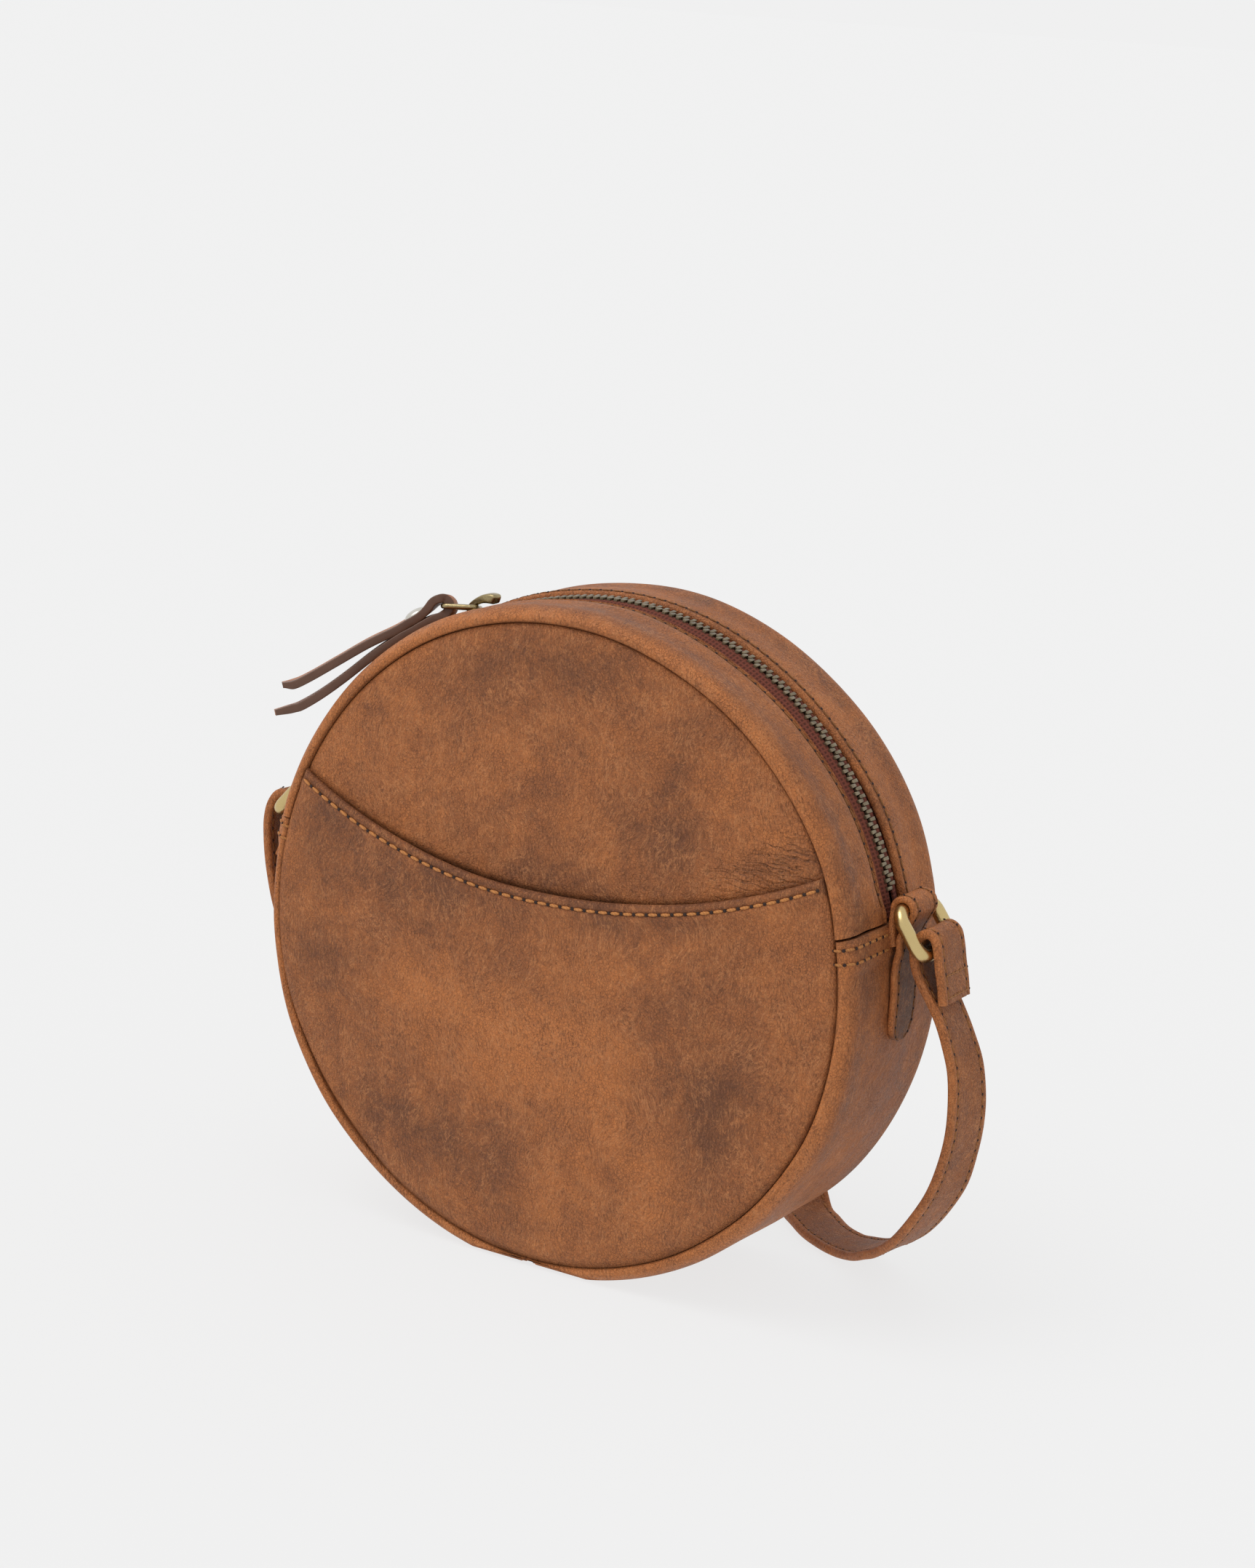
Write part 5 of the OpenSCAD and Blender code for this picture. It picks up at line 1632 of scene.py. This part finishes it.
class BAG_OT_stage(bpy.types.Operator):
    """Lays the floor and sets the light and the camera"""

    bl_idname = "round_bag.stage"
    bl_label = "Floor, light and camera"

    def execute(self, context):
        look = settings().stage
        scene = context.scene
        scene.view_settings.view_transform = "Standard"
        self.floor(look)
        self.world(scene, look)
        sun = bpy.data.lights.new("key_light", "SUN")
        sun.energy = look.sun
        sun.angle = math.radians(LIGHT_ANGLE)
        lamp = bpy.data.objects.new("key_light", sun)
        lamp.rotation_mode = "QUATERNION"
        lamp.rotation_quaternion = Vector(LIGHT_WAY).to_track_quat("-Z", "Y")
        scene.collection.objects.link(lamp)
        self.camera(scene, look)
        return {"FINISHED"}

    def floor(self, look):
        """A pale sheet that glows a little, so that the bag's shadow stays soft."""
        bm = bmesh.new()
        bmesh.ops.create_grid(bm, x_segments=1, y_segments=1, size=FLOOR_SIZE)
        mesh = bpy.data.meshes.new("floor")
        bm.to_mesh(mesh)
        bm.free()
        floor = bpy.data.objects.new("floor", mesh)
        bpy.context.scene.collection.objects.link(floor)
        s = Shader("floor_paper", 0.9, specular=0.0)
        s.surface.inputs["Base Color"].default_value = (*look.paper, 1)
        s.surface.inputs["Emission Color"].default_value = (1, 1, 1, 1)
        s.surface.inputs["Emission Strength"].default_value = look.glow
        mesh.materials.append(s.material)

    def world(self, scene, look):
        """Lights the bag from all round, more from above. Seen directly, the background is a plain colour."""
        world = bpy.data.worlds.new("studio")
        scene.world = world
        world.use_nodes = True
        tree = world.node_tree
        tree.nodes.clear()

        def add(kind, **values):
            node = tree.nodes.new(kind)
            for key, value in values.items():
                node.inputs[key.replace("_", " ")].default_value = value
            return node

        out = add("ShaderNodeOutputWorld")
        path = add("ShaderNodeLightPath")
        seen = add("ShaderNodeBackground", Color=(*look.ground, 1))
        light = add("ShaderNodeBackground", Color=(1, 1, 1, 1))
        coords = add("ShaderNodeTexCoord")
        split = add("ShaderNodeSeparateXYZ")
        shade = add("ShaderNodeMapRange", From_Min=-1.0, From_Max=1.0, To_Min=0.55 * look.fill,
                    To_Max=1.25 * look.fill)
        seen_by = path.outputs["Is Camera Ray"]
        for other in ("Is Glossy Ray", "Is Transmission Ray"):
            either = add("ShaderNodeMath")
            either.operation = "MAXIMUM"
            tree.links.new(seen_by, either.inputs[0])
            tree.links.new(path.outputs[other], either.inputs[1])
            seen_by = either.outputs[0]
        mix = add("ShaderNodeMixShader")
        for a, b in ((coords.outputs["Generated"], split.inputs[0]),
                     (split.outputs["Z"], shade.inputs["Value"]), (shade.outputs[0], light.inputs["Strength"]),
                     (seen_by, mix.inputs[0]), (light.outputs[0], mix.inputs[1]),
                     (seen.outputs[0], mix.inputs[2]), (mix.outputs[0], out.inputs[0])):
            tree.links.new(a, b)

    def camera(self, scene, look):
        """Sets the camera where the photograph was taken from."""
        turn, rise, roll = (math.radians(a) for a in (CAMERA_TURN, CAMERA_RISE, CAMERA_ROLL))
        back = Vector((math.sin(turn) * math.cos(rise), -math.cos(turn) * math.cos(rise), math.sin(rise)))
        level = Vector((math.cos(turn), math.sin(turn), 0))
        upright = back.cross(level)
        right = math.cos(roll) * level + math.sin(roll) * upright
        up = -math.sin(roll) * level + math.cos(roll) * upright
        data = bpy.data.cameras.new("camera")
        data.lens = look.lens
        data.sensor_width = 36
        camera = bpy.data.objects.new("camera", data)
        camera.matrix_world = Matrix((right, up, back)).transposed().to_4x4()
        camera.location = Vector(CAMERA_PLACE) * MM
        data.clip_start, data.clip_end = 0.02, 200
        scene.collection.objects.link(camera)
        scene.camera = camera


class BAG_PT_panel(bpy.types.Panel):
    """The bag's pieces and settings"""

    bl_idname = "BAG_PT_panel"
    bl_label = "Round bag"
    bl_space_type = "VIEW_3D"
    bl_region_type = "UI"
    bl_category = "Round bag"

    def draw(self, context):
        bag = context.scene.round_bag
        for group in (bag.leather, bag.thread, bag.metal, bag.stage):
            box = self.layout.box()
            for key in group.__annotations__:
                box.prop(group, key)
        for operator in OPERATORS:
            self.layout.operator(operator.bl_idname)


OPERATORS = (BAG_OT_faces, BAG_OT_pocket, BAG_OT_gusset, BAG_OT_lining, BAG_OT_zip, BAG_OT_slider, BAG_OT_strap,
             BAG_OT_stitches, BAG_OT_stage)
CLASSES = (BagLeather, BagThread, BagMetal, BagStage, BagSettings, *OPERATORS, BAG_PT_panel)


def register():
    for cls in CLASSES:
        bpy.utils.register_class(cls)
    bpy.types.Scene.round_bag = PointerProperty(type=BagSettings)


def unregister():
    del bpy.types.Scene.round_bag
    for cls in reversed(CLASSES):
        bpy.utils.unregister_class(cls)


def main():
    register()
    for name in ("faces", "pocket", "gusset", "lining", "zip", "slider", "strap", "stitches", "stage"):
        getattr(bpy.ops.round_bag, name)()


if __name__ == "__main__":
    main()
